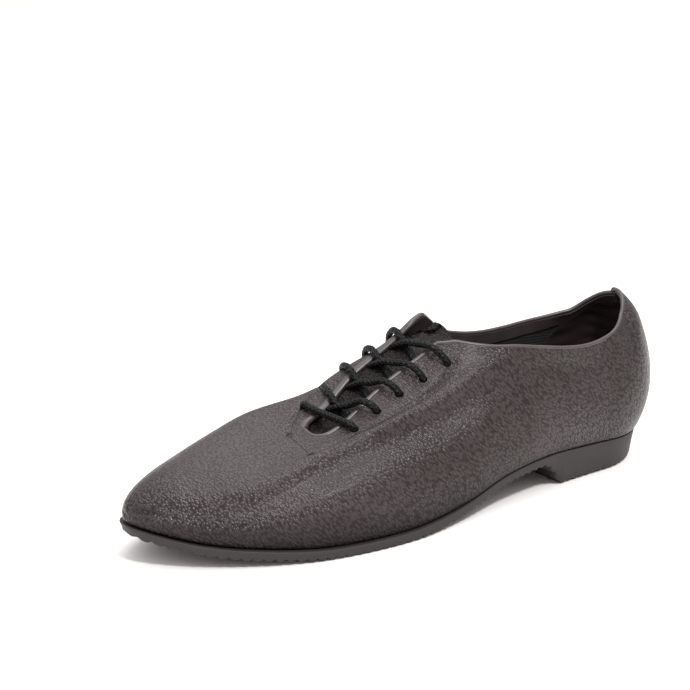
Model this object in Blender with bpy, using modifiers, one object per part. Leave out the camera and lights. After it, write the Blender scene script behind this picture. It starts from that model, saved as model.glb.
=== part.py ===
"""A laced jazz shoe for the left foot, standing empty on its heel and forefoot.

One soft leather upper, cut whole, is lasted round an insole and stuck to a ribbed rubber sole
with its low heel moulded on. A leather tongue fills the throat, and a round cord laces the two
facings over it, with both of its ends tucked away inside.

The toe points along +Y, the wearer's right is +X and the floor is Z = 0. While it is modelled,
Y counts from the back of the last, and centre_on_floor moves the finished shoe over the origin.
"""

import math

import bmesh
import bpy
import numpy as np
from mathutils import Matrix, Vector

MM = 0.001

# Driving sizes of the last and the shoe
LENGTH = 266 * MM
BALL_WIDTH = 88 * MM
INSTEP_HEIGHT = 80 * MM
BACK_HEIGHT = 84 * MM
HEEL_RISE = 13.5 * MM
TOE_SPRING = 12.5 * MM

# The upper's leather with its lining, the margin lasted under, and the belly over the sole's edge
UPPER_WALL = 1.8 * MM
LASTING_MARGIN = 9 * MM
LASTED_RADIUS = 2.6 * MM
BELLY = 4 * MM
BELLY_SPAN = 45 * MM
BELLY_PEAK = 27 / 4

# The back of the collar leans in over its uppermost stretch
COLLAR_LEAN = 4.5 * MM
COLLAR_LEAN_HEIGHT = 14 * MM

# The throat between the facings, and the lace holes punched in them
THROAT_BASE_STATION = 0.698
THROAT_BASE_GAP = 16 * MM
THROAT_GAP = 21 * MM
THROAT_BACK_STATION = 0.36
FACING_TOP_STATION = 0.445
FACING_CORNER = 3 * MM
RIDGE_INSET = 3 * MM
HOLE_ROWS = 5
FIRST_HOLE_STATION = 0.653
HOLE_SKEW = 6 * MM
HOLE_PITCH = 12.2 * MM
HOLE_INSET = 8.5 * MM
HOLE_RADIUS = 2 * MM

TONGUE_WALL = 1.6 * MM
TONGUE_OVERLAP = 7 * MM
TONGUE_TOP_STATION = 0.43
TONGUE_CORNER = 9 * MM

INSOLE_WALL = 2 * MM
INSOLE_INSET = 3 * MM

# The sole, its heel and its moulded ribs
SOLE_THICKNESS = 4.4 * MM
SOLE_LEDGE = 2 * MM
TOE_LEDGE = 1 * MM
SOLE_EDGE_RADIUS = 0.9 * MM
HEEL_LENGTH = 63 * MM
HEEL_TAPER = 1.8 * MM
HEEL_EDGE_RADIUS = 2.5 * MM
BREAST_RUN = 14 * MM
RIB_PITCH = 4.1 * MM
RIB_LAND = 1.3 * MM
RIB_DEPTH = 1.1 * MM

LACE_RADIUS = 1.6 * MM
LACE_ARCH = 1 * MM
LACE_LEAD = 6 * MM

# Pieces that touch are this far apart
CLEARANCE = 0.3 * MM

# Sections of the last from heel to toe. Station is a share of LENGTH. Centre and half, the middle
# and half width of the bottom edge, and ridge, where the two sides meet just beside the inner
# facing, are shares of BALL_WIDTH. Rise is a share of HEEL_RISE, spring of TOE_SPRING, and crown,
# the height of the ridge, of INSTEP_HEIGHT. Tilt is how steeply the top falls towards the outer
# side, bow how far its two shoulders stand above the ridge, as a share of INSTEP_HEIGHT, and
# outer and inner are the powers of each side's round.
LAST_COLUMNS = ("station", "centre", "half", "rise", "spring", "ridge", "crown", "tilt", "bow",
                "outer", "inner")
LAST = (
    (0.00, 0.005, 0.292, 0.78, 0.00, 0.000, 1.30, 0.00, 0.00, 2.00, 2.00),
    (0.08, 0.007, 0.310, 0.80, 0.00, 0.000, 1.45, 0.00, 0.00, 2.00, 2.00),
    (0.18, 0.003, 0.326, 0.88, 0.00, 0.010, 1.58, 0.00, 0.00, 2.00, 2.00),
    (0.28, -0.020, 0.334, 0.94, 0.00, 0.040, 1.46, 0.00, 0.00, 2.00, 2.00),
    (0.38, -0.048, 0.346, 0.74, 0.00, 0.080, 1.20, 0.03, 0.00, 2.00, 2.00),
    (0.48, -0.066, 0.375, 0.27, 0.00, 0.115, 0.97, 0.12, 0.00, 2.00, 2.10),
    (0.58, -0.052, 0.427, 0.03, 0.00, 0.120, 0.77, 0.20, 0.08, 2.20, 2.30),
    (0.66, -0.010, 0.465, 0.00, 0.00, 0.060, 0.58, 0.18, 0.20, 2.40, 2.80),
    (0.74, 0.036, 0.478, 0.00, 0.03, 0.040, 0.52, 0.14, 0.18, 2.40, 2.80),
    (0.82, 0.069, 0.461, 0.00, 0.18, 0.055, 0.50, 0.12, 0.10, 2.30, 2.50),
    (0.91, 0.090, 0.417, 0.00, 0.45, 0.080, 0.46, 0.12, 0.04, 2.20, 2.40),
    (1.00, 0.102, 0.373, 0.00, 1.00, 0.100, 0.42, 0.10, 0.00, 2.30, 2.40),
)

# The collar's height, as shares of BACK_HEIGHT, and the depth and height of the belly at each
# station, as shares of BELLY and BELLY_SPAN
COLLAR_COLUMNS = ("station", "outer", "inner", "belly", "span")
COLLAR = (
    (0.00, 0.995, 0.985, 2.25, 2.20),
    (0.03, 0.990, 0.960, 1.95, 2.05),
    (0.05, 0.950, 0.905, 1.75, 1.90),
    (0.07, 0.885, 0.850, 1.45, 1.70),
    (0.10, 0.820, 0.824, 1.07, 1.40),
    (0.14, 0.783, 0.802, 0.80, 1.10),
    (0.18, 0.773, 0.790, 0.77, 1.00),
    (0.23, 0.787, 0.781, 0.75, 1.00),
    (0.28, 0.815, 0.784, 0.75, 1.00),
    (0.33, 0.844, 0.808, 0.73, 1.00),
    (0.38, 0.862, 0.862, 0.70, 1.00),
    (0.41, 0.880, 0.940, 0.67, 1.00),
    (0.43, 0.893, 0.980, 0.65, 1.00),
    (0.46, 0.920, 0.990, 0.62, 1.00),
    (0.50, 1.400, 1.400, 0.60, 1.00),
    (0.70, 3.000, 3.000, 0.50, 1.00),
    (1.00, 3.000, 3.000, 0.35, 1.00),
)

HEEL_ROUND_STATION = 0.12
TOE_ROUND_STATION = 0.72
TOE_POINT = 1.12
HEEL_FAN_STATION = 0.30
HEEL_FAN_PULL = 0.10
TOE_FAN_STATION = 0.62
TOE_FAN_PULL = 0.13
LEAN_STATION = 0.03
LEAN_END_STATION = 0.16
VAMP_SPLIT_CLIMB = 0.80

# How many ribs the mesh of the upper has up to each station
RIB_RUNS = ((0.40, 9), (0.50, 9), (THROAT_BASE_STATION - 0.02, 8), (THROAT_BASE_STATION, 3))
HEEL_RIBS = 7
TOE_RIBS = 12
SIDE_ROWS = 10
VAMP_ROWS = 3

OUTER = -1
INNER = 1
SIDE_NAMES = {OUTER: "outer", INNER: "inner"}

LEATHER = (0.085, 0.070, 0.066)
RUBBER = (0.070, 0.062, 0.060)
CORD = (0.012, 0.012, 0.013)
LINING = (0.030, 0.028, 0.030)


def along(table, columns, name, station):
    """A column's values at some stations, on a smooth curve through the table's rows."""
    at = np.array([row[0] for row in table])
    values = np.array([row[columns.index(name)] for row in table])
    slopes = np.gradient(values, at)
    station = np.clip(station, at[0], at[-1])
    row = np.clip(np.searchsorted(at, station, side="right") - 1, 0, len(at) - 2)
    span = at[row + 1] - at[row]
    share = (station - at[row]) / span
    level = values[row] + (values[row + 1] - values[row]) * share ** 2 * (3 - 2 * share)
    leave = slopes[row] * share * (1 - share) ** 2
    arrive = slopes[row + 1] * share ** 2 * (1 - share)
    return level + span * (leave - arrive)


def last(name, station):
    return along(LAST, LAST_COLUMNS, name, station)


def collar(name, station):
    return along(COLLAR, COLLAR_COLUMNS, name, station)


def ease(share):
    """From 0 to 1 with a soft start and end."""
    share = np.clip(share, 0, 1)
    return share ** 2 * (3 - 2 * share)


def seat_height(station):
    """Height of the sole's upper face, on which the upper and the insole sit."""
    return SOLE_THICKNESS + HEEL_RISE * last("rise", station) + TOE_SPRING * last("spring", station)


def edge_share(station):
    """How much of its half width a section keeps where the heel and the toe round off."""
    heel_reach = 1 - np.minimum(station / HEEL_ROUND_STATION, 1)
    toe_reach = np.maximum(station - TOE_ROUND_STATION, 0) / (1 - TOE_ROUND_STATION)
    heel = np.sqrt(np.clip(1 - heel_reach ** 2, 0, 1))
    toe = np.clip(1 - toe_reach ** 2, 0, 1) ** (TOE_POINT / 2)
    return heel * toe


def ridge_station(station):
    """Where on the ridge a rib ends: ribs fan out from the ridge round the heel and the toe."""
    back = np.maximum(HEEL_FAN_STATION - station, 0) / HEEL_FAN_STATION
    front = np.maximum(station - TOE_FAN_STATION, 0) / (1 - TOE_FAN_STATION)
    return station + HEEL_FAN_PULL * back ** 2 - TOE_FAN_PULL * front ** 2


def rib_ends(station, side):
    """A rib's foot at the last's bottom edge and its end on the ridge, both in plan."""
    edge = last("centre", station) + side * last("half", station) * edge_share(station)
    foot = np.stack([BALL_WIDTH * edge, LENGTH * station], axis=-1)
    top = ridge_station(station)
    ridge = np.stack([BALL_WIDTH * last("ridge", top), LENGTH * top], axis=-1)
    return foot, ridge


def upper_surface(station, side, climb):
    """Points of the upper's outer face: climb goes from 0, at the sole, to 1, on the ridge."""
    station, climb = np.broadcast_arrays(np.asarray(station, float), np.asarray(climb, float))
    foot, ridge = rib_ends(station, side)
    base = seat_height(station) + CLEARANCE
    power = 2 / last(SIDE_NAMES[side], station)
    inward = 1 - np.clip(np.cos(climb * math.pi / 2), 0, 1) ** power
    plan = foot + (ridge - foot) * inward[..., None]
    at = plan[..., 1] / LENGTH
    beside = plan[..., 0] - BALL_WIDTH * last("ridge", at)
    shoulder = last("crown", at) + last("bow", at) * (beside / BALL_WIDTH * 2) ** 2
    crown = INSTEP_HEIGHT * shoulder + last("tilt", at) * beside
    rise = (crown - base) * np.sin(climb * math.pi / 2) ** power
    out = foot - ridge
    out = out / np.maximum(np.linalg.norm(out, axis=-1), 1e-9)[..., None]
    up = np.minimum(rise / (BELLY_SPAN * collar("span", station)), 1)
    belly = BELLY * collar("belly", station) * BELLY_PEAK * up * (1 - up) ** 2 * (1 - climb ** 4)
    corner = np.clip(1 - rise / LASTED_RADIUS, 0, 1)
    rounding = LASTED_RADIUS * (1 - np.sqrt(1 - corner ** 2))
    top = BACK_HEIGHT * collar(SIDE_NAMES[side], plan[..., 1] / LENGTH)
    leaning = np.clip(1 - (top - base - rise) / COLLAR_LEAN_HEIGHT, 0, 1) ** 2
    ahead = (station - LEAN_STATION) / (LEAN_END_STATION - LEAN_STATION)
    lean = COLLAR_LEAN * leaning * (1 - ease(ahead))
    plan = plan + out * (belly - rounding - lean)[..., None]
    return np.concatenate([plan, (base + rise)[..., None]], axis=-1)


def lasted_margin(station, side, inset):
    """Points of the margin's underside, turned in over the sole."""
    foot, ridge = rib_ends(station, side)
    inward = ridge - foot
    inward = inward / np.maximum(np.linalg.norm(inward, axis=-1), 1e-9)[..., None]
    plan = foot + inward * inset
    height = seat_height(plan[..., 1] / LENGTH) + CLEARANCE
    return np.concatenate([plan, height[..., None]], axis=-1)


def facing_edge(station, side):
    """Where each facing's edge runs: the inner beside the ridge, the outer across the throat."""
    inner = BALL_WIDTH * last("ridge", station) + RIDGE_INSET
    if side == INNER:
        return inner
    up = (THROAT_BASE_STATION - station) / (THROAT_BASE_STATION - FACING_TOP_STATION)
    return inner - THROAT_BASE_GAP - (THROAT_GAP - THROAT_BASE_GAP) * ease(up / 0.5)


def climb_where(station, side, leather):
    """The highest climb of each rib at which the leather function is still positive."""
    low = np.zeros_like(station)
    high = np.ones_like(station)
    for _ in range(30):
        middle = (low + high) / 2
        inside = leather(upper_surface(station, side, middle)) > 0
        low = np.where(inside, middle, low)
        high = np.where(inside, high, middle)
    return low


def soft_minimum(first, second, radius):
    """The smaller of two distances, rounded off where they are nearly equal."""
    mix = np.clip(0.5 + (second - first) / (2 * radius), 0, 1)
    return second * (1 - mix) + first * mix - radius * mix * (1 - mix)


def open_climb(station, side):
    """Where each open rib ends, at the collar's edge or at the facing's."""
    def leather(point):
        at = point[..., 1] / LENGTH
        below = BACK_HEIGHT * collar(SIDE_NAMES[side], at) - point[..., 2]
        behind = ease((THROAT_BACK_STATION - at) / 0.04) * BALL_WIDTH
        beside = side * (point[..., 0] - facing_edge(at, side)) + behind
        return soft_minimum(below, beside, FACING_CORNER)

    return climb_where(station, side, leather)


def climb_beside(station, side, inset):
    """The climb at which a rib is this far from the edge of its facing."""
    def leather(point):
        return side * (point[..., 0] - facing_edge(point[..., 1] / LENGTH, side)) - inset

    return climb_where(np.atleast_1d(np.asarray(station, float)), side, leather)


def across_throat(station, share, overlap, lift):
    """Points over the upper's face, from share -1 to 1 across the throat and both facings."""
    left = facing_edge(station, OUTER) - overlap
    right = facing_edge(station, INNER) + overlap
    x = left + (right - left) * (share + 1) / 2
    ridge = BALL_WIDTH * last("ridge", station)
    points = np.zeros((len(station), 3))
    for side in (OUTER, INNER):
        here = (x >= ridge) == (side == INNER)
        if here.any():
            at = station[here]
            inset = side * (x[here] - facing_edge(at, side))
            climb = np.minimum(climb_beside(at, side, inset), 0.995)
            points[here] = upper_surface(at, side, climb) + surface_normal(at, side, climb) * lift
    return points


def rib_stations():
    """Stations of the upper's ribs, close together where its edges turn."""
    heel = HEEL_ROUND_STATION * (1 - np.cos(np.linspace(0, math.pi / 2, HEEL_RIBS + 1)))
    stations = list(heel)
    start = HEEL_ROUND_STATION
    for end, count in RIB_RUNS:
        stations += list(np.linspace(start, end, count + 1)[1:])
        start = end
    reach = 1 - start
    stations += list(start + reach * np.sin(np.linspace(0, math.pi / 2, TOE_RIBS + 1))[1:])
    return np.array(stations)


def surface_normal(station, side, climb):
    """The outward normal of the upper's outer face."""
    step = 1e-4
    over = upper_surface(station + step, side, climb) - upper_surface(station - step, side, climb)
    up = upper_surface(station, side, climb + step) - upper_surface(station, side, climb - step)
    normal = np.cross(over, up) * side
    return normal / np.maximum(np.linalg.norm(normal, axis=-1), 1e-12)[..., None]


def add_grid(work, rows):
    """Join a grid of points, given as rows of equal length, with quads."""
    loops = [[work.verts.new(Vector(point)) for point in row] for row in rows]
    for lower, upper in zip(loops, loops[1:]):
        for a, b, c, d in zip(lower, lower[1:], upper[1:], upper):
            work.faces.new((a, b, c, d))


def finish_sheet(work, name):
    """Weld a sheet's seams, drop its folded faces and turn its faces outward."""
    bmesh.ops.remove_doubles(work, verts=work.verts, dist=0.02 * MM)
    bmesh.ops.dissolve_degenerate(work, edges=work.edges, dist=0.001 * MM)
    bmesh.ops.recalc_face_normals(work, faces=work.faces)
    mesh = bpy.data.meshes.new(name)
    work.to_mesh(mesh)
    work.free()
    return mesh


def add_part(name, mesh, material, collection):
    part = bpy.data.objects.new(name, mesh)
    collection.objects.link(part)
    mesh.materials.append(material)
    mesh.shade_smooth()
    mesh.set_sharp_from_angle(angle=math.radians(50))
    return part


def thicken(part, wall):
    """Give an outer face its wall, inward. The insole's outer face is its underside."""
    solid = part.modifiers.new("Wall", "SOLIDIFY")
    solid.thickness = wall
    solid.offset = -1


def upper_rows(stations, side):
    """Rows of points of one side of the upper, from the margin's edge up."""
    base = stations[stations <= THROAT_BASE_STATION + 1e-9]
    vamp = stations[stations > THROAT_BASE_STATION + 1e-9]
    open_top = open_climb(base, side)
    toward_toe = ease((vamp - THROAT_BASE_STATION) / (1 - THROAT_BASE_STATION))
    top = np.concatenate([open_top, open_top[-1] + (VAMP_SPLIT_CLIMB - open_top[-1]) * toward_toe])
    rows = [lasted_margin(stations, side, inset)
            for inset in (LASTING_MARGIN, LASTING_MARGIN * 0.6, LASTED_RADIUS)]
    crown = INSTEP_HEIGHT * last("crown", stations) - seat_height(stations)
    power = last(SIDE_NAMES[side], stations) / 2
    for share in (0.29, 1.0):
        lift = (share * LASTED_RADIUS / crown) ** power
        rows.append(upper_surface(stations, side, np.arcsin(lift) * 2 / math.pi))
    first = np.arcsin((LASTED_RADIUS / crown) ** power) * 2 / math.pi
    for row in range(1, SIDE_ROWS + 1):
        rows.append(upper_surface(stations, side, first + (top - first) * row / SIDE_ROWS))
    closed = stations >= THROAT_BASE_STATION - 1e-9
    bridge = [rows[-1][closed]]
    for row in range(1, VAMP_ROWS + 1):
        climb = top[closed] + (1 - top[closed]) * row / VAMP_ROWS
        bridge.append(upper_surface(stations[closed], side, climb))
    return rows, bridge


def row_station(row, share):
    """Where a row of the lacing crosses: it runs a little askew, the inner end nearer the toe."""
    return FIRST_HOLE_STATION + (share * HOLE_SKEW / 2 - row * HOLE_PITCH) / LENGTH


def hole_places():
    """Each lace hole's row, side, centre and outward normal."""
    places = []
    for row in range(HOLE_ROWS):
        for side in (OUTER, INNER):
            station = np.array([row_station(row, side)])
            climb = climb_beside(station, side, HOLE_INSET)
            centre = upper_surface(station, side, climb)[0]
            normal = surface_normal(station, side, climb)[0]
            places.append((row, side, Vector(centre), Vector(normal)))
    return places


def make_hole_cutter(collection):
    work = bmesh.new()
    for _, _, centre, normal in hole_places():
        turn = normal.to_track_quat("Z", "Y").to_matrix().to_4x4()
        bmesh.ops.create_cone(work, cap_ends=True, segments=10, radius1=HOLE_RADIUS,
                              radius2=HOLE_RADIUS, depth=UPPER_WALL * 4,
                              matrix=Matrix.Translation(centre) @ turn)
    mesh = bpy.data.meshes.new("lace_hole_cutter")
    work.to_mesh(mesh)
    work.free()
    cutter = bpy.data.objects.new("lace_hole_cutter", mesh)
    collection.objects.link(cutter)
    cutter.hide_render = True
    cutter.display_type = "WIRE"
    return cutter


def make_upper(material, collection, cutters):
    stations = rib_stations()
    work = bmesh.new()
    for side in (OUTER, INNER):
        for rows in upper_rows(stations, side):
            add_grid(work, rows)
    upper = add_part("upper", finish_sheet(work, "upper"), material, collection)
    thicken(upper, UPPER_WALL)
    holes = upper.modifiers.new("Lace holes", "BOOLEAN")
    holes.operation = "DIFFERENCE"
    holes.object = make_hole_cutter(cutters)
    return upper


def make_tongue(material, collection):
    """A sheet under the facings, from just past the throat's base to behind their top."""
    stations = np.linspace(TONGUE_TOP_STATION, THROAT_BASE_STATION + 0.02, 18)
    past_top = np.minimum((stations - TONGUE_TOP_STATION) * LENGTH / TONGUE_CORNER, 1)
    narrowing = 0.7 + 0.3 * np.sqrt(1 - (1 - past_top) ** 2)
    sink = -UPPER_WALL - 2 * CLEARANCE
    columns = [across_throat(stations, share * narrowing, TONGUE_OVERLAP, sink)
               for share in np.linspace(-1, 1, 12)]
    work = bmesh.new()
    add_grid(work, columns)
    tongue = add_part("tongue", finish_sheet(work, "tongue"), material, collection)
    thicken(tongue, TONGUE_WALL)
    return tongue


def add_cord(name, points, material, collection):
    curve = bpy.data.curves.new(name, "CURVE")
    curve.dimensions = "3D"
    curve.bevel_depth = LACE_RADIUS
    curve.bevel_resolution = 2
    curve.use_fill_caps = True
    spline = curve.splines.new("POLY")
    spline.points.add(len(points) - 1)
    for target, point in zip(spline.points, points):
        target.co = (*point, 1)
    curve.materials.append(material)
    cord = bpy.data.objects.new(name, curve)
    collection.objects.link(cord)
    return cord


def make_lace(material, collection):
    """A straight bar over the first holes, and over each later row two cords joined between."""
    resting = LACE_RADIUS + CLEARANCE
    sunk = resting - UPPER_WALL - 2 * CLEARANCE
    for row in range(HOLE_ROWS):
        points = []
        for share in np.linspace(-1, 1, 15):
            middle = 1 - abs(share)
            at = np.array([row_station(row, share)])
            lift = resting
            if row > 0:
                at = at + LACE_LEAD / LENGTH * ease(middle)
                lift += LACE_ARCH * math.sin(math.pi * min(middle / 0.6, 1))
                lift += (sunk - resting) * ease((middle - 0.5) / 0.4)
            points.append(across_throat(at, np.array([share]), HOLE_INSET, lift)[0])
        name = "lace_bar" if row == 0 else f"lace_cross_{row + 1}"
        add_cord(name, points, material, collection)


def make_insole(material, collection):
    stations = rib_stations()
    floor = CLEARANCE * 2 + UPPER_WALL
    work = bmesh.new()
    for side in (OUTER, INNER):
        edge = lasted_margin(stations, side, INSOLE_INSET)
        middle = (lasted_margin(stations, OUTER, INSOLE_INSET)
                  + lasted_margin(stations, INNER, INSOLE_INSET)) / 2
        for points in (edge, middle):
            points[:, 2] = seat_height(points[:, 1] / LENGTH) + floor
        add_grid(work, [edge, middle])
    insole = add_part("insole", finish_sheet(work, "insole"), material, collection)
    thicken(insole, INSOLE_WALL)
    return insole


def rib_profile():
    """Stations of the sole's cross-sections and how far each is cut up into the rubber."""
    count = int(LENGTH / RIB_PITCH)
    slack = (LENGTH - count * RIB_PITCH) / 2
    places = [(0.0006, 0.5), (0.003, 0.25)]
    for rib in range(count):
        start = slack + rib * RIB_PITCH + (RIB_PITCH - RIB_LAND) / 2
        valley = slack + rib * RIB_PITCH
        if rib > 0:
            places.append((valley / LENGTH, 1.0))
        places.append((start / LENGTH, 0.0))
        places.append(((start + RIB_LAND) / LENGTH, 0.0))
    places += [(0.997, 0.25), (0.9994, 0.5)]
    places = sorted(place for place in places)
    return np.array(places)


def tread_height(station):
    """Height of the ribs' lands: flat under the forefoot and heel, arched at the waist."""
    arch = seat_height(station) - SOLE_THICKNESS
    past_heel = (station * LENGTH - HEEL_LENGTH) / BREAST_RUN
    return arch * np.sin(np.clip(past_heel, 0, 1) * math.pi / 2)


def sole_edge(station, side, outset):
    share = last("half", station) * edge_share(station)
    return BALL_WIDTH * (last("centre", station) + side * share) + side * outset


def make_outsole(material, collection):
    places = rib_profile()
    station, cut = places[:, 0], places[:, 1]
    seat = seat_height(station)
    tread = tread_height(station) + RIB_DEPTH * cut
    heel = 1 - ease((station * LENGTH - HEEL_LENGTH) / BREAST_RUN)
    ledge = SOLE_LEDGE * ease((station - 0.35) / 0.25) - 0.4 * MM * heel
    radius = SOLE_EDGE_RADIUS + (HEEL_EDGE_RADIUS - SOLE_EDGE_RADIUS) * heel
    radius = np.minimum(radius, (seat - tread) * 0.6)
    taper = HEEL_TAPER * heel
    spread_top = station * (LENGTH + TOE_LEDGE)
    spread_low = HEEL_TAPER + station * (LENGTH + TOE_LEDGE - HEEL_TAPER - SOLE_EDGE_RADIUS)
    rings = []
    levels = ((seat, ledge, spread_top), (tread + radius, ledge - taper * 0.8, spread_low),
              (tread, ledge - taper - radius * 0.5, spread_low))
    for height, outset, spread in levels:
        for side in (OUTER, INNER):
            x = sole_edge(station, side, np.maximum(outset, 0.8 * MM * (cut < 0)) + 0 * station)
            rings.append(np.stack([x, spread, height], axis=-1))
    order = (0, 1, 3, 5, 4, 2)
    work = bmesh.new()
    loops = [[work.verts.new(Vector(rings[k][i])) for k in order] for i in range(len(station))]
    for near, far in zip(loops, loops[1:]):
        for k in range(len(order)):
            work.faces.new((near[k], near[k - 1], far[k - 1], far[k]))
    work.faces.new(loops[0])
    work.faces.new(list(reversed(loops[-1])))
    bmesh.ops.recalc_face_normals(work, faces=work.faces)
    mesh = bpy.data.meshes.new("outsole")
    work.to_mesh(mesh)
    work.free()
    return add_part("outsole", mesh, material, collection)


def make_material(name, colour, roughness):
    material = bpy.data.materials.new(name)
    material.use_nodes = True
    shader = material.node_tree.nodes["Principled BSDF"]
    shader.inputs["Base Color"].default_value = (*colour, 1)
    shader.inputs["Roughness"].default_value = roughness
    shader.inputs["Metallic"].default_value = 0
    return material


def new_collection(name):
    collection = bpy.data.collections.new(name)
    bpy.context.scene.collection.children.link(collection)
    return collection


def centre_on_floor(parts, cutters):
    """Move everything so that the bottom of the shoe's box is centred on the origin."""
    bpy.context.view_layer.update()
    corners = [part.matrix_world @ Vector(corner) for part in parts for corner in part.bound_box]
    low = Vector(min(corner[axis] for corner in corners) for axis in range(3))
    high = Vector(max(corner[axis] for corner in corners) for axis in range(3))
    shift = Vector((-(low.x + high.x) / 2, -(low.y + high.y) / 2, -low.z))
    for item in list(parts) + list(cutters):
        item.location += shift


def main():
    for item in list(bpy.data.objects):
        bpy.data.objects.remove(item, do_unlink=True)
    shoe = new_collection("jazz_shoe")
    cutters = new_collection("cutters")
    leather = make_material("dark brown-black leather", LEATHER, 0.5)
    rubber = make_material("black rubber", RUBBER, 0.6)
    lining = make_material("black lining cloth", LINING, 0.9)
    cord = make_material("black braided cord", CORD, 0.8)
    make_outsole(rubber, shoe)
    make_upper(leather, shoe, cutters)
    make_insole(lining, shoe)
    make_tongue(leather, shoe)
    make_lace(cord, shoe)
    centre_on_floor(shoe.objects, cutters.objects)


main()
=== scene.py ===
import math

import bmesh
import bpy
import numpy as np
from bpy.props import FloatProperty, FloatVectorProperty, IntProperty, PointerProperty
from mathutils import Matrix, Vector


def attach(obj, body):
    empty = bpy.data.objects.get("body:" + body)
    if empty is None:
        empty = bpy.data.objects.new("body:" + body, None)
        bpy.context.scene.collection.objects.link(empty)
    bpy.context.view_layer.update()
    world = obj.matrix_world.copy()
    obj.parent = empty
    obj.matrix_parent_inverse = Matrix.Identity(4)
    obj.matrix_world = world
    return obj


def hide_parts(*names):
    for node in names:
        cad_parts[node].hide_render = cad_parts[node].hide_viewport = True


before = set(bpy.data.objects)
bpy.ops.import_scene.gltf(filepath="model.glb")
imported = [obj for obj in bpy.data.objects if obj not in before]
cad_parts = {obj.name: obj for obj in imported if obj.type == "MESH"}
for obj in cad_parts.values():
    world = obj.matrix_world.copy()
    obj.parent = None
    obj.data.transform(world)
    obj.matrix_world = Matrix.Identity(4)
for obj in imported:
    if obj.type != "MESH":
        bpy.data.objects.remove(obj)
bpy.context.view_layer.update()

bl_info = {
    "name": "Laced Jazz Shoe",
    "version": (1, 0, 0),
    "blender": (4, 5, 0),
    "location": "View3D > Sidebar > Jazz Shoe",
    "description": "Dresses the solid model of a soft laced jazz shoe for the left foot",
    "category": "Object",
}

MM = 0.001

# Sections of the last from heel to toe, in the columns that the shoe's solid model uses
LAST_COLUMNS = ("station", "centre", "half", "rise", "spring", "ridge", "crown", "tilt", "bow",
                "outer", "inner")
LAST = (
    (0.00, 0.005, 0.292, 0.78, 0.00, 0.000, 1.30, 0.00, 0.00, 2.00, 2.00),
    (0.08, 0.007, 0.310, 0.80, 0.00, 0.000, 1.45, 0.00, 0.00, 2.00, 2.00),
    (0.18, 0.003, 0.326, 0.88, 0.00, 0.010, 1.58, 0.00, 0.00, 2.00, 2.00),
    (0.28, -0.020, 0.334, 0.94, 0.00, 0.040, 1.46, 0.00, 0.00, 2.00, 2.00),
    (0.38, -0.048, 0.346, 0.74, 0.00, 0.080, 1.20, 0.03, 0.00, 2.00, 2.00),
    (0.48, -0.066, 0.375, 0.27, 0.00, 0.115, 0.97, 0.12, 0.00, 2.00, 2.10),
    (0.58, -0.052, 0.427, 0.03, 0.00, 0.120, 0.77, 0.20, 0.08, 2.20, 2.30),
    (0.66, -0.010, 0.465, 0.00, 0.00, 0.060, 0.58, 0.18, 0.20, 2.40, 2.80),
    (0.74, 0.036, 0.478, 0.00, 0.03, 0.040, 0.52, 0.14, 0.18, 2.40, 2.80),
    (0.82, 0.069, 0.461, 0.00, 0.18, 0.055, 0.50, 0.12, 0.10, 2.30, 2.50),
    (0.91, 0.090, 0.417, 0.00, 0.45, 0.080, 0.46, 0.12, 0.04, 2.20, 2.40),
    (1.00, 0.102, 0.373, 0.00, 1.00, 0.100, 0.42, 0.10, 0.00, 2.30, 2.40),
)
COLLAR_COLUMNS = ("station", "outer", "inner", "belly", "span")
COLLAR = (
    (0.00, 0.995, 0.985, 2.25, 2.20),
    (0.03, 0.990, 0.960, 1.95, 2.05),
    (0.05, 0.950, 0.905, 1.75, 1.90),
    (0.07, 0.885, 0.850, 1.45, 1.70),
    (0.10, 0.820, 0.824, 1.07, 1.40),
    (0.14, 0.783, 0.802, 0.80, 1.10),
    (0.18, 0.773, 0.790, 0.77, 1.00),
    (0.23, 0.787, 0.781, 0.75, 1.00),
    (0.28, 0.815, 0.784, 0.75, 1.00),
    (0.33, 0.844, 0.808, 0.73, 1.00),
    (0.38, 0.862, 0.862, 0.70, 1.00),
    (0.41, 0.880, 0.940, 0.67, 1.00),
    (0.43, 0.893, 0.980, 0.65, 1.00),
    (0.46, 0.920, 0.990, 0.62, 1.00),
    (0.50, 1.400, 1.400, 0.60, 1.00),
    (0.70, 3.000, 3.000, 0.50, 1.00),
    (1.00, 3.000, 3.000, 0.35, 1.00),
)

# Where the back of the last stands in the shoe's frame
LAST_PLACE = np.array((-1.558, -129.706, 0.001)) * MM

BELLY_PEAK = 27 / 4
HEEL_ROUND_STATION = 0.12
TOE_ROUND_STATION = 0.72
TOE_POINT = 1.12
TOE_MEETING_STATION = 0.94
HEEL_FAN_STATION = 0.30
HEEL_FAN_PULL = 0.10
TOE_FAN_STATION = 0.62
TOE_FAN_PULL = 0.13
LEAN_STATION = 0.03
LEAN_END_STATION = 0.16
THROAT_BASE_STATION = 0.698
THROAT_ROUND_STATION = 0.6940
FACING_TOP_STATION = 0.445
THROAT_BACK_STATION = 0.36
TONGUE_TOP_STATION = 0.43
FIRST_HOLE_STATION = 0.653
HOLE_ROWS = 5

TONGUE_OVERLAP = 7 * MM
TONGUE_CORNER = 9 * MM
TONGUE_DIP = 6 * MM
TONGUE_LEATHER = 1.5 * MM
EDGE_HALF_WIDTH = 0.95 * MM
EDGE_HALF_HEIGHT = 1.08 * MM
BAND_TOP = 0.9 * MM
BAND_FOOT = 6.5 * MM
BAND_END_STATION = 0.47
GRIP_TOP = 6 * MM
GRIP_FOOT = 44 * MM
GRIP_END_STATION = 0.115
GRIP_RIPPLE = 0.36 * MM
PIPING_RADIUS = 0.4 * MM
PIPING_END_STATION = 0.33
SOLE_EDGE_ROUND = 0.9 * MM
HEEL_EDGE_ROUND = 1.6 * MM
HEEL_TAPER = 1.8 * MM
CORD_SPACING = 0.42 * MM

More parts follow.
